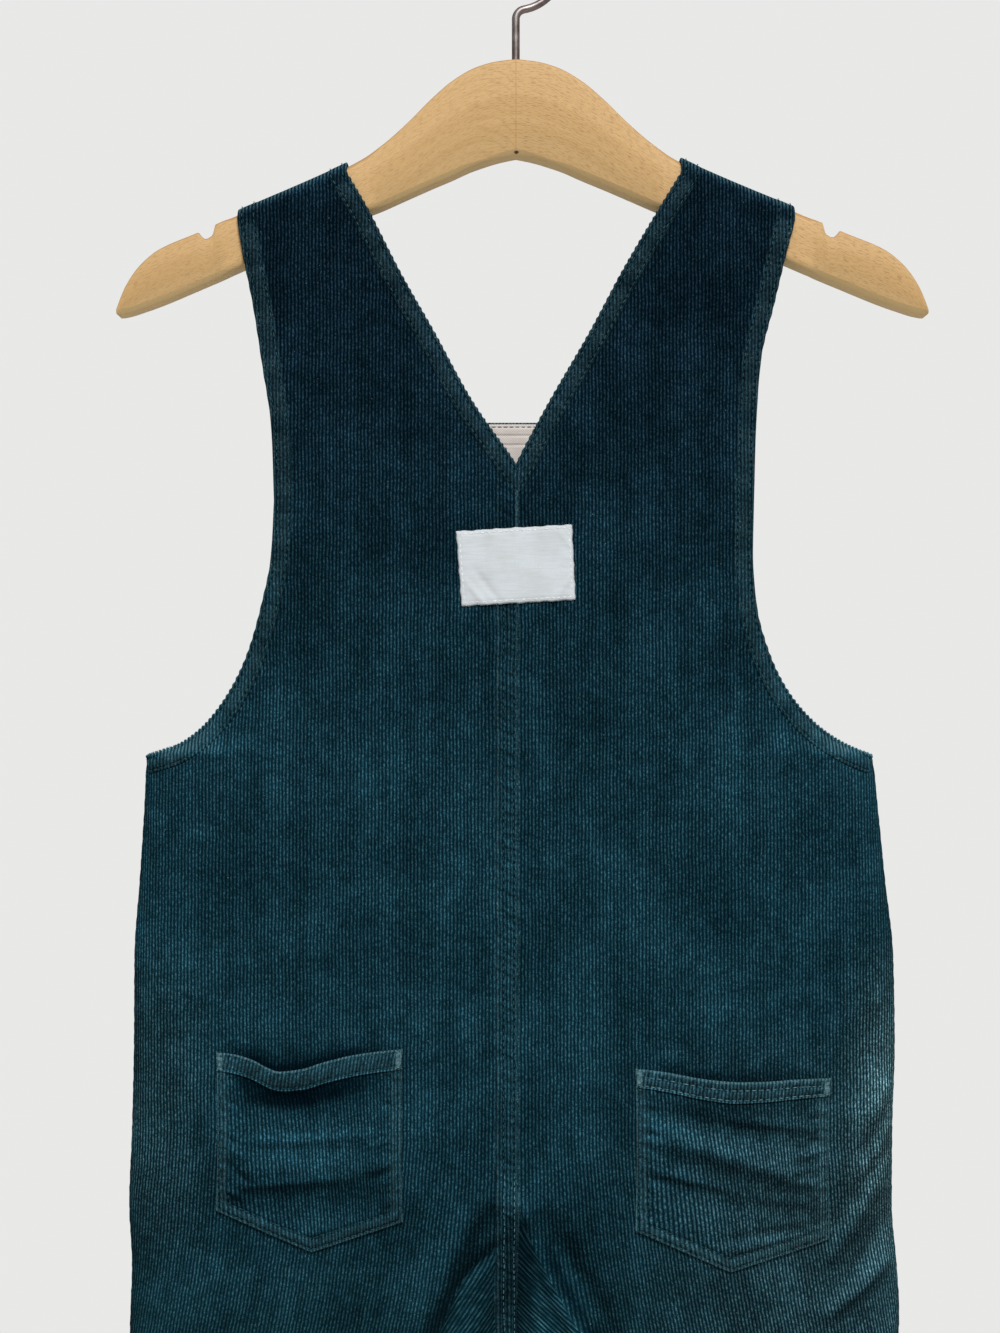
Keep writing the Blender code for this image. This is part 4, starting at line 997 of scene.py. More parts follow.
def build_pocket(side, material, stitches):
    """Patch pocket with its hem and stitches; returns it with two bar tacks and any pale rows."""
    pocket = POCKETS[side]
    wide = pocket.x_right - pocket.x_left
    tall = pocket.top_left - pocket.low_left
    near = np.array((0.0, 0.12, 0.3, 0.55, 0.9))
    hem_rows = POCKET_HEM + np.array((-0.6, -0.3, 0.0, 0.3, 0.6))
    across = np.concatenate((near, np.arange(1.5, wide - 1.2, POCKET_STEP), wide - near[::-1])) / wide
    down = np.concatenate((near, np.arange(1.5, tall - 1.2, POCKET_STEP), hem_rows, tall - near[::-1])) / tall
    across, down = np.meshgrid(across, np.sort(down))
    x, s = pocket_plane(side, across, down)
    height = pocket_height(side, across, down, wide, tall)
    points, normal = raised_point(x, s, height, side, "back")
    _, from_top, _, edge, hem, run = pocket_rims(across, down, wide, tall)
    rim = np.minimum(edge, from_top)
    # Lighter rim: partly rubbed wear and partly a painted highlight along the pocket's edges.
    worn = 1.1 * np.exp(-(rim / 0.75) ** 4) + 0.3 * bell(edge, 3.0, 1.6) + 0.22 * hem
    # Painted shade in the stitch dips, strongest at each hole.
    for row in POCKET_STITCHES:
        worn = worn - 0.8 * bell(edge, row, 0.35) * stitch_pull(run) * (from_top > 1)
    for row in POCKET_HEM_STITCHES[side]:
        worn = worn - 0.7 * bell(from_top, row, 0.35) * stitch_pull(across * wide)
    # Painted shadow on the pocket cloth just below its hem.
    held = ease((across - 0.03) / 0.14) * ease((0.98 - across) / 0.3)
    below_hem = np.exp(-(clamp(from_top - POCKET_HEM - 2, 0, 40) / 7.0) ** 2) * (1 - hem)
    worn = worn - POCKET_SHADOW[side] * held * below_hem
    lean = POCKET_LEAN[side] * np.sin(math.pi * across) * (s - pocket.top_left)
    grain = x + POCKET_SHIFT[side] + lean + 0.22 * hem * (from_top - POCKET_HEM)
    item = cloth_piece("pocket_cloth_" + side, points, (grain, s), normal, material, clamp(worn, -1, 1),
                       replaced=("pocket_" + side,), wall=POCKET_WALL)

    def row_of(place_across, place_down):
        x, s = pocket_plane(side, place_across, place_down)
        top = pocket_height(side, place_across, place_down, wide, tall)
        return raised_point(x, s, top + 0.05, side, "back")

    for inset in POCKET_STITCHES:
        u, v = inset / wide, inset / tall
        steps = np.linspace(0, 1, 60)
        path_across = np.concatenate((np.full(60, u), mix(u, 1 - u, steps), np.full(60, 1 - u)))
        path_down = np.concatenate((mix(0.012, 1 - v, steps), np.full(60, 1 - v), mix(1 - v, 0.012, steps)))
        stitches.append(row_of(path_across, path_down))
    pale = []
    for inset in POCKET_HEM_STITCHES[side]:
        steps = np.linspace(0.02, 0.98, 90)
        (pale if side == "right" else stitches).append(row_of(steps, np.full(90, inset / tall)))
    tacks = []
    for corner in (0.0, 1.0):
        steps = np.linspace(0, 1, 24)
        weave = np.where(np.arange(24) % 2 == 0, 0.7, 2.6)
        path_across = np.abs(corner - weave / wide)
        tacks.append(row_of(path_across, mix(0.4, 6.6, steps) / tall))
    return item, tacks + pale


def label_base(x, s):
    """Height that the label needs over the back to clear the felled seam."""
    over_seam = np.exp(-((x + 4.2) / 7.0) ** 4)
    return 0.5 + 0.95 * over_seam


def build_label(material, stitches):
    """Blank cotton label with a turned edge, sewn down all round."""
    wide, tall = LABEL[1][0] - LABEL[0][0], LABEL[0][1] - LABEL[3][1]
    across, down = np.meshgrid(np.linspace(0, 1, 70), np.linspace(0, 1, 46))
    place = corner_mix(LABEL, across, down)
    from_side, from_end = np.minimum(across, 1 - across) * wide, np.minimum(down, 1 - down) * tall
    rim = np.minimum(from_side, from_end)
    run = np.where(from_side < from_end, down * tall, across * wide)
    edge_wave = 0.25 * uneven(run, 7, 2.0) * bell(rim, 0, 1.5)
    x = place[..., 0] + edge_wave * (across - 0.5) * 2
    s = place[..., 1] - edge_wave * (down - 0.5) * 2
    height = label_base(x, s) + 0.75 * np.sqrt(clamp(1 - (1 - clamp(rim / 1.1)) ** 2))
    height = height - 0.28 * bell(rim, LABEL_STITCH, 0.45)
    height = height + 0.12 * uneven(run, 5, 6.0) * bell(rim, 2.2, 1.3)
    height = height + relief(LABEL_CREASES, x, s)
    points = two_sided_point(x, s, height)
    item = cloth_piece("label_cloth", points, (x, s), BACKWARDS, material, bell(rim, 0, 0.8),
                       ("label",), COTTON_WALL)
    u, v = LABEL_STITCH / wide, LABEL_STITCH / tall
    steps = np.linspace(0, 1, 50)
    around = np.concatenate((mix(u, 1 - u, steps), np.full(50, 1 - u), mix(1 - u, u, steps), np.full(50, u)))
    downward = np.concatenate((np.full(50, v), mix(v, 1 - v, steps), np.full(50, 1 - v), mix(1 - v, v, steps)))
    place = corner_mix(LABEL, around, downward)
    height = label_base(place[:, 0], place[:, 1]) + 0.52 + relief(LABEL_CREASES, place[:, 0], place[:, 1])
    points = two_sided_point(place[:, 0], place[:, 1], height)
    stitches.append((points, np.broadcast_to(BACKWARDS, points.shape)))
    return item


def two_sided_point(x, s, height):
    """Points over the back on either side of its centre seam."""
    left, _ = raised_point(np.minimum(x, -HALF_GAP), s, height, "left", "back")
    right, _ = raised_point(np.maximum(x, HALF_GAP), s, height, "right", "back")
    point = np.where((x < 0)[..., None], left, right)
    point[..., 0] = x
    return point


def build_facing(material, stitches):
    """Plain cotton facing inside the bib, sewn along its top edge."""
    down = np.concatenate(((0.0, 0.2, 0.5, 0.8), np.linspace(1.1, 10.0, 37), np.linspace(11, FACING_DEEP, 18)))
    z = BIB_TOP - FACING_TOP - down
    left, right = outline_x(z, "left", "front", "out") + 3, outline_x(z, "right", "front", "out") - 3
    across = np.linspace(0, 1, 120)
    x = mix(left[:, None], right[:, None], across[None, :])
    s = np.broadcast_to(z[:, None], x.shape)
    y = np.where(x < 0, cloth_depth(np.minimum(x, -HALF_GAP), s, "left", "front"),
                 cloth_depth(np.maximum(x, HALF_GAP), s, "right", "front"))
    away = CLOTH + SEAM_GAP + 0.25 + 0.6 * np.sqrt(clamp(down / 1.2))[:, None]
    for row in FACING_LINES:
        away = away - 0.25 * bell(down, row, 0.5)[:, None]
    away = away + 0.18 * uneven(x + 0.3 * s, 13, 4.0) * clamp(down / 4)[:, None]
    points = np.stack((x, y - away, s), axis=-1)
    lines = sum(bell(down, row, 0.3) for row in FACING_LINES)
    item = cloth_piece("facing_cloth", points, (x, s), BACKWARDS, material, lines[:, None],
                       ("bib_facing",), COTTON_WALL)
    line = points[int(np.argmin(np.abs(down - FACING_LINES[0])))] + np.array((0.0, -0.08, 0.0))
    stitches.append((line, np.broadcast_to(BACKWARDS, line.shape)))
    return item


BIB_HEM_SHAPE = (
    (4.6, -1.75), (2.2, -1.95), (1.0, -2.0), (0.3, -1.95), (-0.15, -1.6), (-0.35, -0.9), (-0.3, -0.1),
    (0.0, 0.5), (0.6, 0.85), (1.2, 0.8), (1.7, 0.55), (2.3, 0.85), (6.0, 0.95), (9.6, 0.9), (10.4, 0.75),
    (10.9, 0.5), (11.4, 0.7), (12.0, 0.5), (12.5, -0.1),
)
BIB_HEM_STITCHES = (1.7, 10.9)


def build_bib_hem(side, material, stitches):
    """Turned top edge of the bib, half on each side of the centre seam."""
    below, height = (np.array(column) for column in zip(*BIB_HEM_SHAPE))
    s = BIB_TOP - below
    x_out = outline_x(s, side, "front", "out")
    across = np.linspace(0, 1, 150)
    inner = BIB_HEM_OVER if side == "left" else HALF_GAP
    plane_x = mix(inner, x_out[:, None], across[None, :])
    plane_s = s[:, None]
    height = height[:, None] + 0.15 * uneven(plane_x, 6, 2.0) * (height > 0.4)[:, None]
    points, normal = raised_point(plane_x, plane_s, height, side, "front")
    item = cloth_piece("bib_hem_" + side, points, (plane_x, plane_s), normal * (height > 0.6)[..., None],
                       material, bell(below, 0, 1.2)[:, None])
    for place in BIB_HEM_STITCHES:
        line_x = mix(SIDES[side] * 1.0, outline_x(BIB_TOP - place, side, "front", "out") - SIDES[side] * 2, across)
        stitches.append(raised_point(line_x, BIB_TOP - place, STITCH_LIFT, side, "front"))
    return item


# Stitches


def stitch_tree():
    """Geometry Nodes that sew stitches along lines, flat on the cloth."""
    inputs = (("Lines", "Geometry", None), ("Pitch", "Float", 2.8 * MM), ("Length", "Float", 2.0 * MM),
              ("Thread", "Float", 0.5 * MM), ("Material", "Material", None))
    wire, entry, leave = new_group("sew_stitches", inputs, (("Stitches", "Geometry"),), "GeometryNodeTree")
    given = entry.outputs
    curve = wire.put("GeometryNodeMeshToCurve", {"Mesh": given["Lines"]})
    spaced = wire.put("GeometryNodeResampleCurve", {"Curve": curve.outputs["Curve"], "Length": given["Pitch"]},
                      mode="LENGTH")
    bead = wire.put("GeometryNodeMeshUVSphere", {"Segments": 6, "Rings": 4, "Radius": 0.5})
    lay = wire.put("GeometryNodeTransform", {"Geometry": bead.outputs["Mesh"], "Rotation": (0.0, math.pi / 2, 0.0)})
    size = wire.vector(given["Length"], given["Thread"], wire.times(given["Thread"], 0.8))
    shape = wire.put("GeometryNodeTransform", {"Geometry": lay.outputs["Geometry"], "Scale": size})
    tangent = wire.put("GeometryNodeInputTangent")
    along = wire.put("FunctionNodeAlignRotationToVector", {"Vector": tangent.outputs["Tangent"]}, axis="X")
    outward = wire.put("GeometryNodeInputNamedAttribute", {"Name": "outward"}, data_type="FLOAT_VECTOR")
    upright = wire.put("FunctionNodeAlignRotationToVector",
                       {"Rotation": along.outputs["Rotation"], "Vector": outward.outputs["Attribute"]},
                       axis="Z", pivot_axis="X")
    vary = wire.put("FunctionNodeRandomValue", {0: (0.86, 0.85, 0.8), 1: (1.1, 1.1, 1.1), "Seed": 7},
                    data_type="FLOAT_VECTOR")
    beads = wire.put("GeometryNodeInstanceOnPoints", {
        "Points": spaced.outputs["Curve"], "Instance": shape.outputs["Geometry"],
        "Rotation": upright.outputs["Rotation"], "Scale": vary.outputs["Value"],
    })
    real = wire.put("GeometryNodeRealizeInstances", {"Geometry": beads.outputs["Instances"]})
    finish = wire.put("GeometryNodeSetMaterial",
                      {"Geometry": real.outputs["Geometry"], "Material": given["Material"]})
    wire.feed(leave.inputs["Stitches"], finish.outputs["Geometry"])
    return wire.tree


def sew(name, lines, tree, material, sizes):
    """Make stitches along lines of points, as one plain mesh."""
    mesh = bpy.data.meshes.new(name + "_lines")
    verts, edges, outward = [], [], []
    for points, normal in lines:
        start = len(verts)
        verts += [tuple(p) for p in points * MM]
        outward += [tuple(n) for n in normal]
        edges += [(start + i, start + i + 1) for i in range(len(points) - 1)]
    mesh.from_pydata(verts, edges, [])
    mark = mesh.attributes.new("outward", "FLOAT_VECTOR", "POINT")
    mark.data.foreach_set("vector", np.array(outward, dtype=np.float32).ravel())
    guide = bpy.data.objects.new(name + "_guide", mesh)
    bpy.context.scene.collection.objects.link(guide)
    needle = guide.modifiers.new("stitches", "NODES")
    needle.node_group = tree
    names = {item.name: item.identifier for item in tree.interface.items_tree if item.item_type == "SOCKET"}
    for label, value in sizes.items():
        needle[names[label]] = value * MM
    needle[names["Material"]] = material
    view = bpy.context.evaluated_depsgraph_get()
    sewn = bpy.data.meshes.new_from_object(guide.evaluated_get(view))
    guide.modifiers.remove(needle)
    bpy.data.objects.remove(guide, do_unlink=True)
    sewn.name = name
    sewn.shade_smooth()
    return add_piece(name, sewn, None)


# Hanger, hook and buttons


def wood_outline(place, name):
    return through([w.x for w in WOOD], [getattr(w, name) for w in WOOD], place)


def build_hanger(material):
    """Flat wooden hanger, bevelled below and notched near both tips, one loft from tip to tip."""
    fine = np.linspace(0, 1, 90) ** 0.9 * HANGER_REACH
    notch_x, drop = zip(*NOTCH)
    halves = []
    for side, sign in SIDES.items():
        shifted = np.array(notch_x) + NOTCH_SHIFT[side]
        clear = (fine < shifted[0] - 0.3) | (fine > shifted[-1] + 0.3)
        place = np.sort(np.concatenate((fine[clear], shifted)))
        top = wood_outline(place, "top") - np.interp(place, shifted, drop)
        half = np.stack((sign * place * REACH[side] / HANGER_REACH, top, wood_outline(place, "bottom"), place))
        halves.append(half[:, ::-1] if sign < 0 else half[:, 1:])
    x, top, bottom, place = np.concatenate(halves, axis=1)
    start, full, less, end = STRAP_SPAN
    under_strap = ease((place - start) / (full - start)) * ease((end - place) / (end - less))
    most = (top - bottom) / 2 * 0.8
    bend = np.minimum(mix(EDGE_ROUND, WOOD_ROUND, under_strap), most)
    bevel = np.minimum(mix(BEVEL, WOOD_ROUND, under_strap), most)
    bevel = bevel - BEVEL_DIP * bell(place, *BEVEL_DIP_AT)
    flatness = mix(1.9, 1.0, under_strap)
    half = WOOD_THICK / 2
    quarter = np.radians(np.linspace(0, 90, 7))
    ring_y, ring_z = [], []
    for toward, edge, start in ((1, top, 0), (-1, top, 90), (-1, bottom, 180), (1, bottom, 270)):
        size = bend if edge is top else bevel
        inner = edge - size if edge is top else edge + size
        power = 1.0 if edge is top else flatness
        for angle in np.radians(start) + quarter:
            over_y, over_z = math.cos(angle), math.sin(angle)
            ring_y.append(toward * (half - size) + size * np.sign(over_y) * abs(over_y) ** power)
            ring_z.append(inner + size * np.sign(over_z) * abs(over_z) ** power)
    y, z = np.stack(ring_y, axis=1), np.stack(ring_z, axis=1)
    points = np.stack((np.broadcast_to(x[:, None], y.shape), y, z), axis=-1)
    middle = np.stack((x, (top + bottom) / 2), axis=-1)
    run = run_length(middle)
    run = run - np.interp(0, x, run)
    over = z - middle[:, 1:] + y * 0.7
    wood_uv = np.stack((np.broadcast_to(np.abs(run)[:, None], y.shape), over), axis=-1)
    mesh = grid_mesh("hanger_wood", points, wood_uv, closed=True)
    close_ends(mesh, len(x), y.shape[1])
    return add_piece("hanger_wood", mesh, material, ("hanger",))


def close_ends(mesh, rows, wide):
    """Cap both ends of a lofted tube and turn its faces outwards."""
    bm = bmesh.new()
    bm.from_mesh(mesh)
    bm.verts.ensure_lookup_table()
    for first in (0, (rows - 1) * wide):
        bm.faces.new([bm.verts[first + i] for i in range(wide)])
    bmesh.ops.recalc_face_normals(bm, faces=bm.faces)
    bm.to_mesh(mesh)
    bm.free()
    mesh.shade_smooth()
    mesh.set_sharp_from_angle(angle=math.radians(50))


def build_hook(material):
    """Steel wire hook: a stem out of the wood, a side bend, and a round top."""
    centre = -(HOOK_RADIUS - WIRE / 2)
    bend = HOOK_RADIUS * math.cos(HOOK_JOIN) / (1 - math.cos(HOOK_JOIN))
    start = centre - (HOOK_RADIUS + bend) * math.sin(HOOK_JOIN)
    path = [(0.0, WOOD[0].top - STEM_DEPTH), (0.0, WOOD[0].top), (0.0, (WOOD[0].top + start) / 2)]
    for angle in np.linspace(0, HOOK_JOIN, 12):
        path.append((bend * (1 - math.cos(angle)), start + bend * math.sin(angle)))
    for angle in np.linspace(-HOOK_JOIN, HOOK_END, 72)[1:]:
        path.append((HOOK_RADIUS * math.cos(angle), centre + HOOK_RADIUS * math.sin(angle)))
    line = np.array(path)
    way = np.gradient(line, axis=0)
    way /= np.linalg.norm(way, axis=1, keepdims=True)
    around = np.linspace(0, 2 * math.pi, 17)[:-1]
    side = np.stack((-way[:, 1], way[:, 0]), axis=-1)
    ring = side[:, None, :] * np.cos(around)[None, :, None] * WIRE / 2
    y = np.broadcast_to(np.sin(around) * WIRE / 2, ring.shape[:2])
    points = np.stack((line[:, None, 0] + ring[..., 0], y, line[:, None, 1] + ring[..., 1]), axis=-1)
    wire_uv = np.stack(np.broadcast_arrays(run_length(line)[:, None], around[None, :]), axis=-1)
    mesh = grid_mesh("hook_wire", points, wire_uv, closed=True)
    close_ends(mesh, len(line), len(around))
    return add_piece("hook_wire", mesh, material, ("hook",))


def build_button_thread(side, button):
    """Two crossed loops of thread through a button's four holes."""
    low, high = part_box(button)
    middle = [(a + b) / 2 / MM for a, b in zip(low, high)]
    face_y = high[1] / MM - 0.7
    loops = []
    for turn in (45, 135):
        angle = math.radians(turn)
        steps = np.linspace(-1, 1, 9)
        x = middle[0] + BUTTON_PITCH * math.cos(angle) * steps
        z = middle[2] + BUTTON_PITCH * math.sin(angle) * steps
        y = face_y + 0.35 * (1 - steps ** 2) ** 0.5
        points = np.stack((x, y, z), axis=-1)
        loops.append((points, np.broadcast_to((0.0, 1.0, 0.0), points.shape)))
    return loops


# Materials


def new_material(name, color, roughness, metallic=0.0, **constants):
    """Principled material with its even finishes on the shader; returns it, its wiring and the shader."""
    material = bpy.data.materials.new(name)
    material.use_nodes = True
    shader = material.node_tree.nodes["Principled BSDF"]
    shader.inputs["Base Color"].default_value = (*color, 1.0)
    shader.inputs["Roughness"].default_value = roughness
    shader.inputs["Metallic"].default_value = metallic
    for label, value in constants.items():
        shader.inputs[label.replace("_", " ")].default_value = value
    material.diffuse_color = (*color, 1.0)
    return material, Wiring(material.node_tree), shader


class Wiring:
    """Short words for adding nodes to one tree."""

    def __init__(self, tree):
        self.tree = tree

    def put(self, kind, inputs=None, **settings):
        """Add a node with its settings, then feed its inputs by name or number."""
        node = self.tree.nodes.new(kind)
        for name, value in settings.items():
            setattr(node, name, value)
        for name, value in (inputs or {}).items():
            self.feed(node.inputs[name], value)
        return node

    def feed(self, socket, value):
        """Link a socket to an output, or give it a plain value."""
        if isinstance(value, bpy.types.NodeSocket):
            self.tree.links.new(value, socket)
        else:
            socket.default_value = value

    def math(self, operation, *values, clamped=False):
        inputs = dict(enumerate(values))
        return self.put("ShaderNodeMath", inputs, operation=operation, use_clamp=clamped).outputs[0]

    def times(self, *values, clamped=False):
        return self.math("MULTIPLY", *values, clamped=clamped)

    def times_add(self, value, by, more, clamped=False):
        return self.math("MULTIPLY_ADD", value, by, more, clamped=clamped)

    def noise(self, place, scale, detail=3.0, rough=0.55):
        inputs = {"Vector": place, "Scale": scale, "Detail": detail, "Roughness": rough}
        return self.put("ShaderNodeTexNoise", inputs).outputs["Fac"]

    def span(self, value, low, high, new_low=0.0, new_high=1.0):
        """Go smoothly from one range of values to another."""
        inputs = {"Value": value, "From Min": low, "From Max": high, "To Min": new_low, "To Max": new_high}
        return self.put("ShaderNodeMapRange", inputs, interpolation_type="SMOOTHSTEP").outputs["Result"]

    def blend(self, share, a, b, kind="MIX"):
        a, b = ((*value, 1.0) if isinstance(value, tuple) and len(value) == 3 else value for value in (a, b))
        return self.put("ShaderNodeMix", {0: share, 6: a, 7: b}, data_type="RGBA", blend_type=kind).outputs[2]

    def vector(self, x, y, z=0.0):
        return self.put("ShaderNodeCombineXYZ", {0: x, 1: y, 2: z}).outputs["Vector"]

    def stretched(self, u, v, by_u, by_v):
        """A place on the cloth, scaled along and across."""
        return self.vector(self.times(u, by_u), self.times(v, by_v))

    def in_mm(self, place):
        """A place kept in UV units, in millimetres."""
        return self.put("ShaderNodeVectorMath", {0: place, "Scale": UV_UNIT}, operation="SCALE").outputs[0]

    def split(self, place):
        return self.put("ShaderNodeSeparateXYZ", {0: place}).outputs

    def upward(self):
        """How far the surface faces up."""
        return self.split(self.put("ShaderNodeNewGeometry").outputs["Normal"])[2]

    def coordinates(self, kind):
        return self.put("ShaderNodeTexCoord").outputs[kind]

    def attribute(self, name, output="Fac"):
        return self.put("ShaderNodeAttribute", attribute_name=name).outputs[output]


def new_group(name, inputs, outputs, kind="ShaderNodeTree"):
    """Node group with named sockets; returns its wiring, entry and exit nodes."""
    tree = bpy.data.node_groups.new(name, kind)
    for label, sort, value in inputs:
        socket = tree.interface.new_socket(label, in_out="INPUT", socket_type="NodeSocket" + sort)
        if value is not None:
            socket.default_value = value
    for label, sort in outputs:
        tree.interface.new_socket(label, in_out="OUTPUT", socket_type="NodeSocket" + sort)
    wire = Wiring(tree)
    return wire, wire.put("NodeGroupInput"), wire.put("NodeGroupOutput")


def wale_group():
    """Corduroy's wales: how far a place is up a ridge, the pile's fleck, and the height."""
    inputs = (("Cloth", "Vector", None), ("Pitch", "Float", WALE))
    outputs = (("Line", "Float"), ("Fleck", "Float"), ("Height", "Float"))
    wire, entry, leave = new_group("corduroy_wales", inputs, outputs)
    u, v, _ = wire.split(entry.outputs["Cloth"])
    slow = wire.stretched(u, v, 0.03, 0.05)
    quick = wire.stretched(u, v, 0.7, 0.4)
    aside = wire.times_add(wire.noise(slow, 1.0, 2.0), 1.2, u)
    aside = wire.times_add(wire.noise(quick, 1.0, 1.0), 0.5, aside)
    turn = wire.times(wire.math("DIVIDE", aside, entry.outputs["Pitch"]), math.pi)
    wave = wire.math("ABSOLUTE", wire.math("SINE", turn))
    ridge = wire.math("POWER", wave, 1.4)
    tuft = wire.stretched(u, v, 1.2, 0.8)
    fleck = wire.span(wire.noise(tuft, 1.0, 3.0, 0.75), 0.40, 0.66)
    wire.feed(leave.inputs["Line"], wire.math("POWER", wave, 3.2))
    wire.feed(leave.inputs["Fleck"], fleck)
    wire.feed(leave.inputs["Height"], wire.times(ridge, wire.times_add(fleck, 0.4, 0.6)))
    return wire.tree


def cloth_place(wire):
    """The piece's place on the cloth, in millimetres."""
    return wire.in_mm(wire.put("ShaderNodeUVMap", uv_map="cloth").outputs["UV"])


def add_bump(wire, shader, height, distance, strength=1.0):
    """Bump of a real depth in millimetres."""
    bump = wire.put("ShaderNodeBump", {"Strength": strength, "Distance": distance * MM, "Height": height})
    wire.feed(shader.inputs["Normal"], bump.outputs["Normal"])


def leaning_cloth(wire, cloth):
    """The wales' place, taken from the leaning wales where the piece has them."""
    leaning = wire.in_mm(wire.attribute("leaning", "Vector"))
    inside = wire.math("GREATER_THAN", wire.split(leaning)[2], 0.0)
    return wire.put("ShaderNodeMix", {0: inside, 4: cloth, 5: leaning}, data_type="VECTOR").outputs[1]


def corduroy_material(wales, name, lift=1.0, leans=False):
    """Dark teal needlecord: darker and bluer above, with patches in the pile, rubbed edges, and painted light and
    shade on its folds, wales, side edges and recesses.
    """
    material, wire, shader = new_material(name, CORD_MID, 0.95, Sheen_Weight=0.02, Sheen_Roughness=0.5,
                                          Sheen_Tint=(0.25, 0.75, 0.85, 1.0), Specular_IOR_Level=0.0)
    cloth = cloth_place(wire)
    wale_place = leaning_cloth(wire, cloth) if leans else cloth
    line, fleck, height = wire.put("ShaderNodeGroup", {"Cloth": wale_place}, node_tree=wales).outputs
    x, _, z = wire.split(wire.coordinates("Object"))
    lower = wire.span(z, *DARK_ABOVE)
    right = wire.times(wire.span(x, *RIGHT_FROM), wire.span(z, *RIGHT_BELOW))
    high, low, leg, side = (tuple(c * lift for c in color) for color in (CORD_HIGH, CORD_LOW, CORD_LEG, CORD_RIGHT))
    top = wire.blend(wire.span(z, *LEG_BELOW), wire.blend(lower, high, low), leg)
    top = wire.blend(right, top, side)
    # Painted highlight on the hips' side edges, strongest on the right.
    edge = wire.math("ADD", *(wire.span(x, *limits) for limits in HIP_HIGHLIGHT_EDGES))
    hip_highlight = wire.times(*(wire.span(z, *limits) for limits in HIP_HIGHLIGHT_SPAN))
    top = wire.blend(wire.times(edge, hip_highlight), top, CORD_EDGE_HIGHLIGHT)
    # The darker valley colour between the wales is painted shade; the lighter ridge colour is partly the pile's own
    # tone and partly painted sheen.
    valley = wire.blend(lower, CORD_VALLEY_HIGH, CORD_VALLEY)
    pile = wire.times(line, wire.times_add(fleck, 0.95, 0.12))
    color = wire.blend(pile, valley, top)
    patches = wire.noise(cloth, 0.03, 4.0, 0.6)
    small = wire.noise(cloth, 0.17, 3.0, 0.65)
    u, v, _ = wire.split(cloth)
    streak_place = wire.stretched(u, v, 0.11, 0.014)
    streaks = wire.noise(streak_place, 1.0, 2.0)
    nap_and_painted_light = wire.times(wire.span(patches, 0.3, 0.7, 0.76, 1.27), wire.span(small, 0.28, 0.72, 0.78, 1.24))
    nap_and_painted_light = wire.times(nap_and_painted_light, wire.span(streaks, 0.3, 0.7, 0.84, 1.16))
    upward = wire.upward()
    # Painted light and shade: lighter where the cloth faces up, darker where it faces down.
    nap_and_painted_light = wire.times(nap_and_painted_light, wire.span(upward, -0.45, 0.45, 0.35, 1.65))
    if leans:
        beside = wire.times(*(wire.span(x, *limits) for limits in CROTCH_SPAN))
        beside = wire.times(beside, wire.span(z, *CROTCH_BELOW))
        nap_and_painted_light = wire.times(nap_and_painted_light, wire.times_add(beside, 0.75, 1.0))
    shade = wire.put("ShaderNodeCombineColor", {0: nap_and_painted_light, 1: nap_and_painted_light, 2: nap_and_painted_light})
    color = wire.blend(1.0, color, shade.outputs[0], "MULTIPLY")
    rubbed = wire.span(wire.noise(cloth, 0.9, 3.0, 0.75), 0.38, 0.62)
    # Painted highlight along the wale ridges where the cloth faces up.
    color = wire.blend(wire.times(wire.span(upward, 0.25, 0.9, 0.0, 0.6), line), color, CORD_WEAR_AND_HIGHLIGHT)
    mark = wire.attribute("worn")
    worn = wire.times(mark, wire.times_add(rubbed, 0.8, 0.2))
    worn = wire.times(worn, wire.times_add(line, 0.6, 0.4))
    # Wear, and the painted highlight on pocket rims, lighten the cloth where the mark is above zero.
    color = wire.blend(wire.times(worn, WEAR_AND_HIGHLIGHT, clamped=True), color, CORD_WEAR_AND_HIGHLIGHT)
    # Painted shadow: where the mark is below zero the cloth goes to the dark valley colour.
    color = wire.blend(wire.times(mark, -0.9, clamped=True), color, CORD_VALLEY_HIGH)
    fluff = wire.span(wire.noise(cloth, 1.0, 2.0, 0.6), 0.60, 0.72)
    fluff = wire.times(fluff, wire.span(mark, 0.1, 0.5, 0.0, 0.55))
    color = wire.blend(fluff, color, FLUFF)
    lint = wire.span(wire.noise(cloth, 1.1, 1.0, 0.4), 0.79, 0.83)
    color = wire.blend(wire.times(lint, 0.5), color, LINT)
    wire.feed(shader.inputs["Base Color"], color)
    wire.feed(shader.inputs["Roughness"], wire.span(pile, 0.0, 1.0, 0.98, 0.86))
    add_bump(wire, shader, height, 0.6)
    return material


def woven_material(name, color, shadow, thread, slub=0.5, lines=0.0):
    """Plain woven cotton with a fine crossing weave and slight slubs."""
    material, wire, shader = new_material(name, color, 0.88, Sheen_Weight=0.08, Specular_IOR_Level=0.3)
    cloth = cloth_place(wire)
    u, v, _ = wire.split(cloth)
    over = [wire.math("SINE", wire.times(part, math.pi / thread)) for part in (u, v)]
    weave = wire.times_add(wire.times(*over), 0.5, 0.5)
    streak = wire.noise(wire.stretched(u, v, 0.12, 1.6), 1.0, 3.0)
    soil = wire.noise(cloth, 0.07, 4.0)
    dark = wire.times(wire.span(streak, 0.35, 0.7), slub)
    dark = wire.times_add(wire.span(soil, 0.4, 0.75), 0.3, dark)
    dark = wire.times_add(wire.attribute("worn"), lines, dark)
    dark = wire.times_add(weave, 0.2, dark, clamped=True)
    wire.feed(shader.inputs["Base Color"], wire.blend(dark, color, shadow))
    add_bump(wire, shader, weave, 0.12, 0.7)
    return material


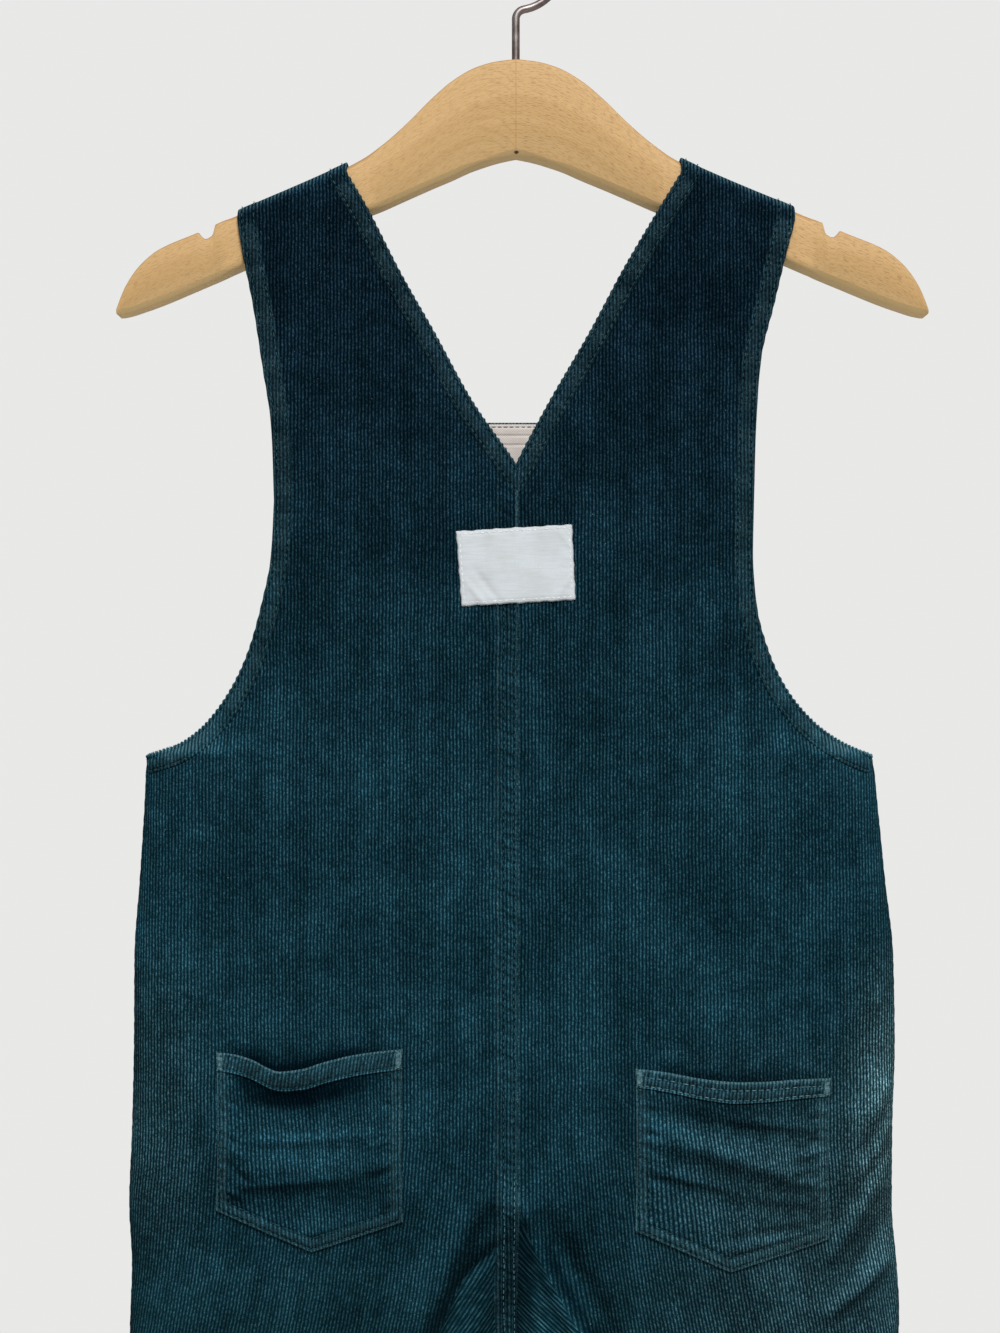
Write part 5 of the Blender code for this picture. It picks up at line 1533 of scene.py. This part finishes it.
def thread_material(name, color, light):
    """Twisted sewing thread, a little lighter where it stands up."""
    material, wire, shader = new_material(name, color, 0.85, Specular_IOR_Level=0.05)
    fray = wire.noise(wire.coordinates("Object"), 900.0, 2.0)
    wire.feed(shader.inputs["Base Color"], wire.blend(wire.span(fray, 0.35, 0.65), color, light))
    add_bump(wire, shader, fray, 0.08)
    return material


def beech_material():
    """Lacquered beech with short dark flecks along the arms and soft growth bands, painted light on its underside
    and painted shade on its top edges and in a small hole.
    """
    material, wire, shader = new_material("hanger_beech", BEECH, 0.55, Specular_IOR_Level=0.3)
    u, v, _ = wire.split(cloth_place(wire))
    fleck_place = wire.stretched(u, v, 0.34, 2.7)
    flecks = wire.span(wire.noise(fleck_place, 1.0, 2.0, 0.6), 0.50, 0.66)
    band_place = wire.stretched(u, v, 0.008, 0.14)
    bands = wire.span(wire.noise(band_place, 1.0, 4.0, 0.6), 0.3, 0.7)
    fine = wire.noise(wire.stretched(u, v, 0.05, 3.0), 1.0, 3.0)
    color = wire.blend(bands, BEECH, BEECH_BAND)
    color = wire.blend(wire.times(wire.span(fine, 0.4, 0.7), 0.35), color, BEECH_BAND)
    x, y, z = wire.split(wire.coordinates("Object"))
    color = wire.blend(wire.times(flecks, wire.span(x, -0.02, 0.01, 0.36, 0.55)), color, BEECH_FLECK_AND_SHADE)
    drop = wire.math("EXPONENT", wire.times(u, -0.11))
    arch = wire.times_add(drop, 14.0, v)
    arch = wire.times_add(wire.noise(band_place, 1.0, 2.0), 9.0, arch)
    rings = wire.span(wire.math("SINE", wire.times(arch, 1.25)), 0.45, 1.0)
    rings = wire.times(rings, wire.span(x, -0.034, -0.008, 0.0, 0.15))
    color = wire.blend(wire.times(rings, wire.span(x, 0.0, 0.0004, 1.0, 0.0)), color, BEECH_FLECK_AND_SHADE)
    joint = wire.span(wire.math("ABSOLUTE", x), 0.0, 0.0005, 0.3, 0.0)
    color = wire.blend(joint, color, BEECH_FLECK_AND_SHADE)
    facing = wire.upward()
    # Painted light: faces turned down are lighter.
    color = wire.blend(wire.span(facing, -0.2, -0.7, 0.0, 0.85), color, BEECH_UNDERSIDE_PAINTED_LIGHT)
    # Painted shade: faces turned up, along the top edges, are darker.
    color = wire.blend(wire.span(facing, 0.25, 0.8, 0.0, 0.55), color, BEECH_FLECK_AND_SHADE)
    # Painted shade in a small hole on the back face.
    shares = [wire.math("DIVIDE", wire.math("ADD", place, -HOLE[k] * MM), HOLE[k + 2] * MM)
              for k, place in enumerate((x, z))]
    away = wire.math("ADD", *(wire.times(share, share) for share in shares))
    hole = wire.times(wire.span(away, 0.8, 1.25, 1.0, 0.0), wire.math("LESS_THAN", y, 0.0))
    color = wire.blend(hole, color, HOLE_PAINTED_SHADE)
    wire.feed(shader.inputs["Base Color"], color)
    wire.feed(shader.inputs["Roughness"], wire.span(fine, 0.3, 0.7, 0.50, 0.62))
    add_bump(wire, shader, wire.times_add(flecks, -0.5, fine), 0.05)
    return material


def steel_material():
    """Dull drawn wire with fine scratches along it and darker, browner patches."""
    material, wire, shader = new_material("hook_steel", STEEL, 0.38, 1.0)
    u, v, _ = wire.split(cloth_place(wire))
    drawn = wire.noise(wire.stretched(u, v, 0.15, 9.0), 1.0, 3.0)
    patch = wire.noise(wire.coordinates("Object"), 160.0, 4.0)
    wire.feed(shader.inputs["Base Color"], wire.blend(wire.span(patch, 0.4, 0.68), STEEL, STEEL_DARK))
    wire.feed(shader.inputs["Roughness"], wire.span(drawn, 0.3, 0.7, 0.3, 0.5))
    add_bump(wire, shader, drawn, 0.04)
    return material


def button_material():
    """Aged metal button, rubbed brighter in places."""
    material, wire, shader = new_material("button_metal_aged", BUTTON_METAL, 0.42, 0.9)
    rubbed = wire.noise(wire.coordinates("Object"), 420.0, 4.0)
    wire.feed(shader.inputs["Base Color"], wire.blend(wire.span(rubbed, 0.4, 0.7), BUTTON_METAL, BUTTON_BRIGHT))
    wire.feed(shader.inputs["Roughness"], wire.span(rubbed, 0.3, 0.7, 0.5, 0.32))
    add_bump(wire, shader, rubbed, 0.05)
    return material


# Stage


def build_stage():
    """Pale round floor under the part, kept below the photograph's frame."""
    mesh = bpy.data.meshes.new("floor")
    bm = bmesh.new()
    bmesh.ops.create_circle(bm, cap_ends=True, segments=96, radius=FLOOR_RADIUS)
    for vert in bm.verts:
        vert.co.z = FLOOR_HEIGHT
    bm.to_mesh(mesh)
    bm.free()
    floor = bpy.data.objects.new("floor", mesh)
    bpy.context.scene.collection.objects.link(floor)
    material, wire, shader = new_material("pale_floor", FLOOR, 0.9)
    grain = wire.noise(wire.coordinates("Object"), 60.0, 3.0)
    color = wire.blend(wire.span(grain, 0.3, 0.7), FLOOR, tuple(c * 0.97 for c in FLOOR))
    wire.feed(shader.inputs["Base Color"], color)
    mesh.materials.append(material)
    floor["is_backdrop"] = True


def add_light(name, place, target, size, power):
    """Soft square lamp aimed at a point."""
    lamp = bpy.data.lights.new(name, "AREA")
    lamp.shape = "SQUARE"
    lamp.size = size
    lamp.energy = power
    item = bpy.data.objects.new(name, lamp)
    item.location = place
    item.rotation_euler = (Vector(target) - Vector(place)).to_track_quat("-Z", "Y").to_euler()
    item.visible_glossy = name == "key"
    bpy.context.scene.collection.objects.link(item)


def build_studio():
    """Pale surroundings and soft lamps."""
    world = bpy.data.worlds.new("pale_room")
    world.use_nodes = True
    wire = Wiring(world.node_tree)
    back = world.node_tree.nodes["Background"]
    back.inputs["Color"].default_value = (*WALL, 1.0)
    seen = wire.put("ShaderNodeLightPath").outputs["Is Camera Ray"]
    wire.feed(back.inputs["Strength"], wire.times_add(seen, 1.0 - ROOM_LIGHT, ROOM_LIGHT))
    bpy.context.scene.world = world
    bpy.context.scene.view_settings.view_transform = "Standard"
    for lamp in LAMPS:
        add_light(*lamp)


def build_camera():
    """Camera at the photograph's place, level and straight on to the back."""
    lens = bpy.data.cameras.new("camera")
    lens.sensor_fit = "VERTICAL"
    lens.sensor_height = CAMERA_SENSOR
    lens.lens = CAMERA_LENS
    lens.clip_start = 0.01
    item = bpy.data.objects.new("camera", lens)
    item.location = CAMERA_PLACE
    item.rotation_euler = (math.radians(90), 0, 0)
    bpy.context.scene.collection.objects.link(item)
    bpy.context.scene.camera = item


def main():
    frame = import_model()
    cad_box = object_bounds()
    wales = wale_group()
    cord = corduroy_material(wales, "corduroy")
    body_cord = corduroy_material(wales, "body_corduroy", leans=True)
    pocket_cord = corduroy_material(wales, "pocket_corduroy", POCKET_LIGHTER)
    facing = woven_material("facing_cotton", FACING, FACING_SHADE, 0.5, lines=0.5)
    label = woven_material("label_cotton", LABEL_WHITE, LABEL_SHADE, 0.35, slub=0.25)
    green = thread_material("green_thread", THREAD, THREAD_LIGHT)
    white = thread_material("white_thread", LABEL_WHITE, THREAD_WHITE)
    dark = thread_material("facing_thread", CORD_VALLEY, THREAD)
    pale = thread_material("rubbed_thread", THREAD_LIGHT, THREAD_PALE)
    green_lines, white_lines, facing_lines, button_lines, tack_lines, pale_lines = [], [], [], [], [], []
    for side in SIDES:
        hems, front_hem = build_hems(side, cord, green_lines)
        back, cut, area = build_panel(side, "back", body_cord)
        cuff = build_cuff(side, "back", cord, green_lines)
        with_back = hems + [cuff, build_side_seam(side, "out", UNDERARM - 0.5, cord),
                            build_side_seam(side, "in", CROTCH - 0.5, cord)]
        if side == "left":
            with_back.append(build_felled_seam("back", FELLED_END, cord, green_lines, pale_lines))
        front, cut, area = build_panel(side, "front", cord)
        with_front = [front_hem, build_cuff(side, "front", cord, green_lines),
                      build_bib_hem(side, cord, green_lines)]
        if side == "left":
            with_front.append(build_felled_seam("front", FELLED_END, cord, green_lines, pale_lines))
        pocket, tacks = build_pocket(side, pocket_cord, green_lines)
        tack_lines += tacks[:2]
        pale_lines += tacks[2:]
        button_lines += build_button_thread(side, "button_" + side)
    patch = build_label(label, white_lines)
    lining = build_facing(facing, facing_lines)
    tree = stitch_tree()
    for name, lines, thread, slot, *sizes in (
        ("seam_stitches", green_lines, green, "thread", STITCH_PITCH, 2.0, 0.42),
        ("pocket_stitches", pale_lines, pale, "thread", STITCH_PITCH, 2.2, 0.42),
        ("corner_tacks", tack_lines, pale, "thread", 0.5, 0.9, 0.4),
        ("label_stitches", white_lines, white, "label_cotton", 2.3, 1.7, 0.42),
        ("facing_stitches", facing_lines, dark, "thread", 2.4, 1.9, 0.45),
        ("button_thread", button_lines, green, "thread", 0.6, 0.9, 0.5),
    ):
        sew(name, lines, tree, thread, dict(zip(("Pitch", "Length", "Thread"), sizes)))
    build_hanger(beech_material())
    build_hook(steel_material())
    metal = button_material()
    for side in SIDES:
        node = frame["nodes"]["button_" + side]
        node.data.materials.clear()
        node.data.materials.append(metal)
    build_stage()
    build_studio()
    build_camera()
    looks_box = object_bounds()
    sizes = {"cad": [list(corner) for corner in cad_box], "looks": [list(corner) for corner in looks_box]}


main()
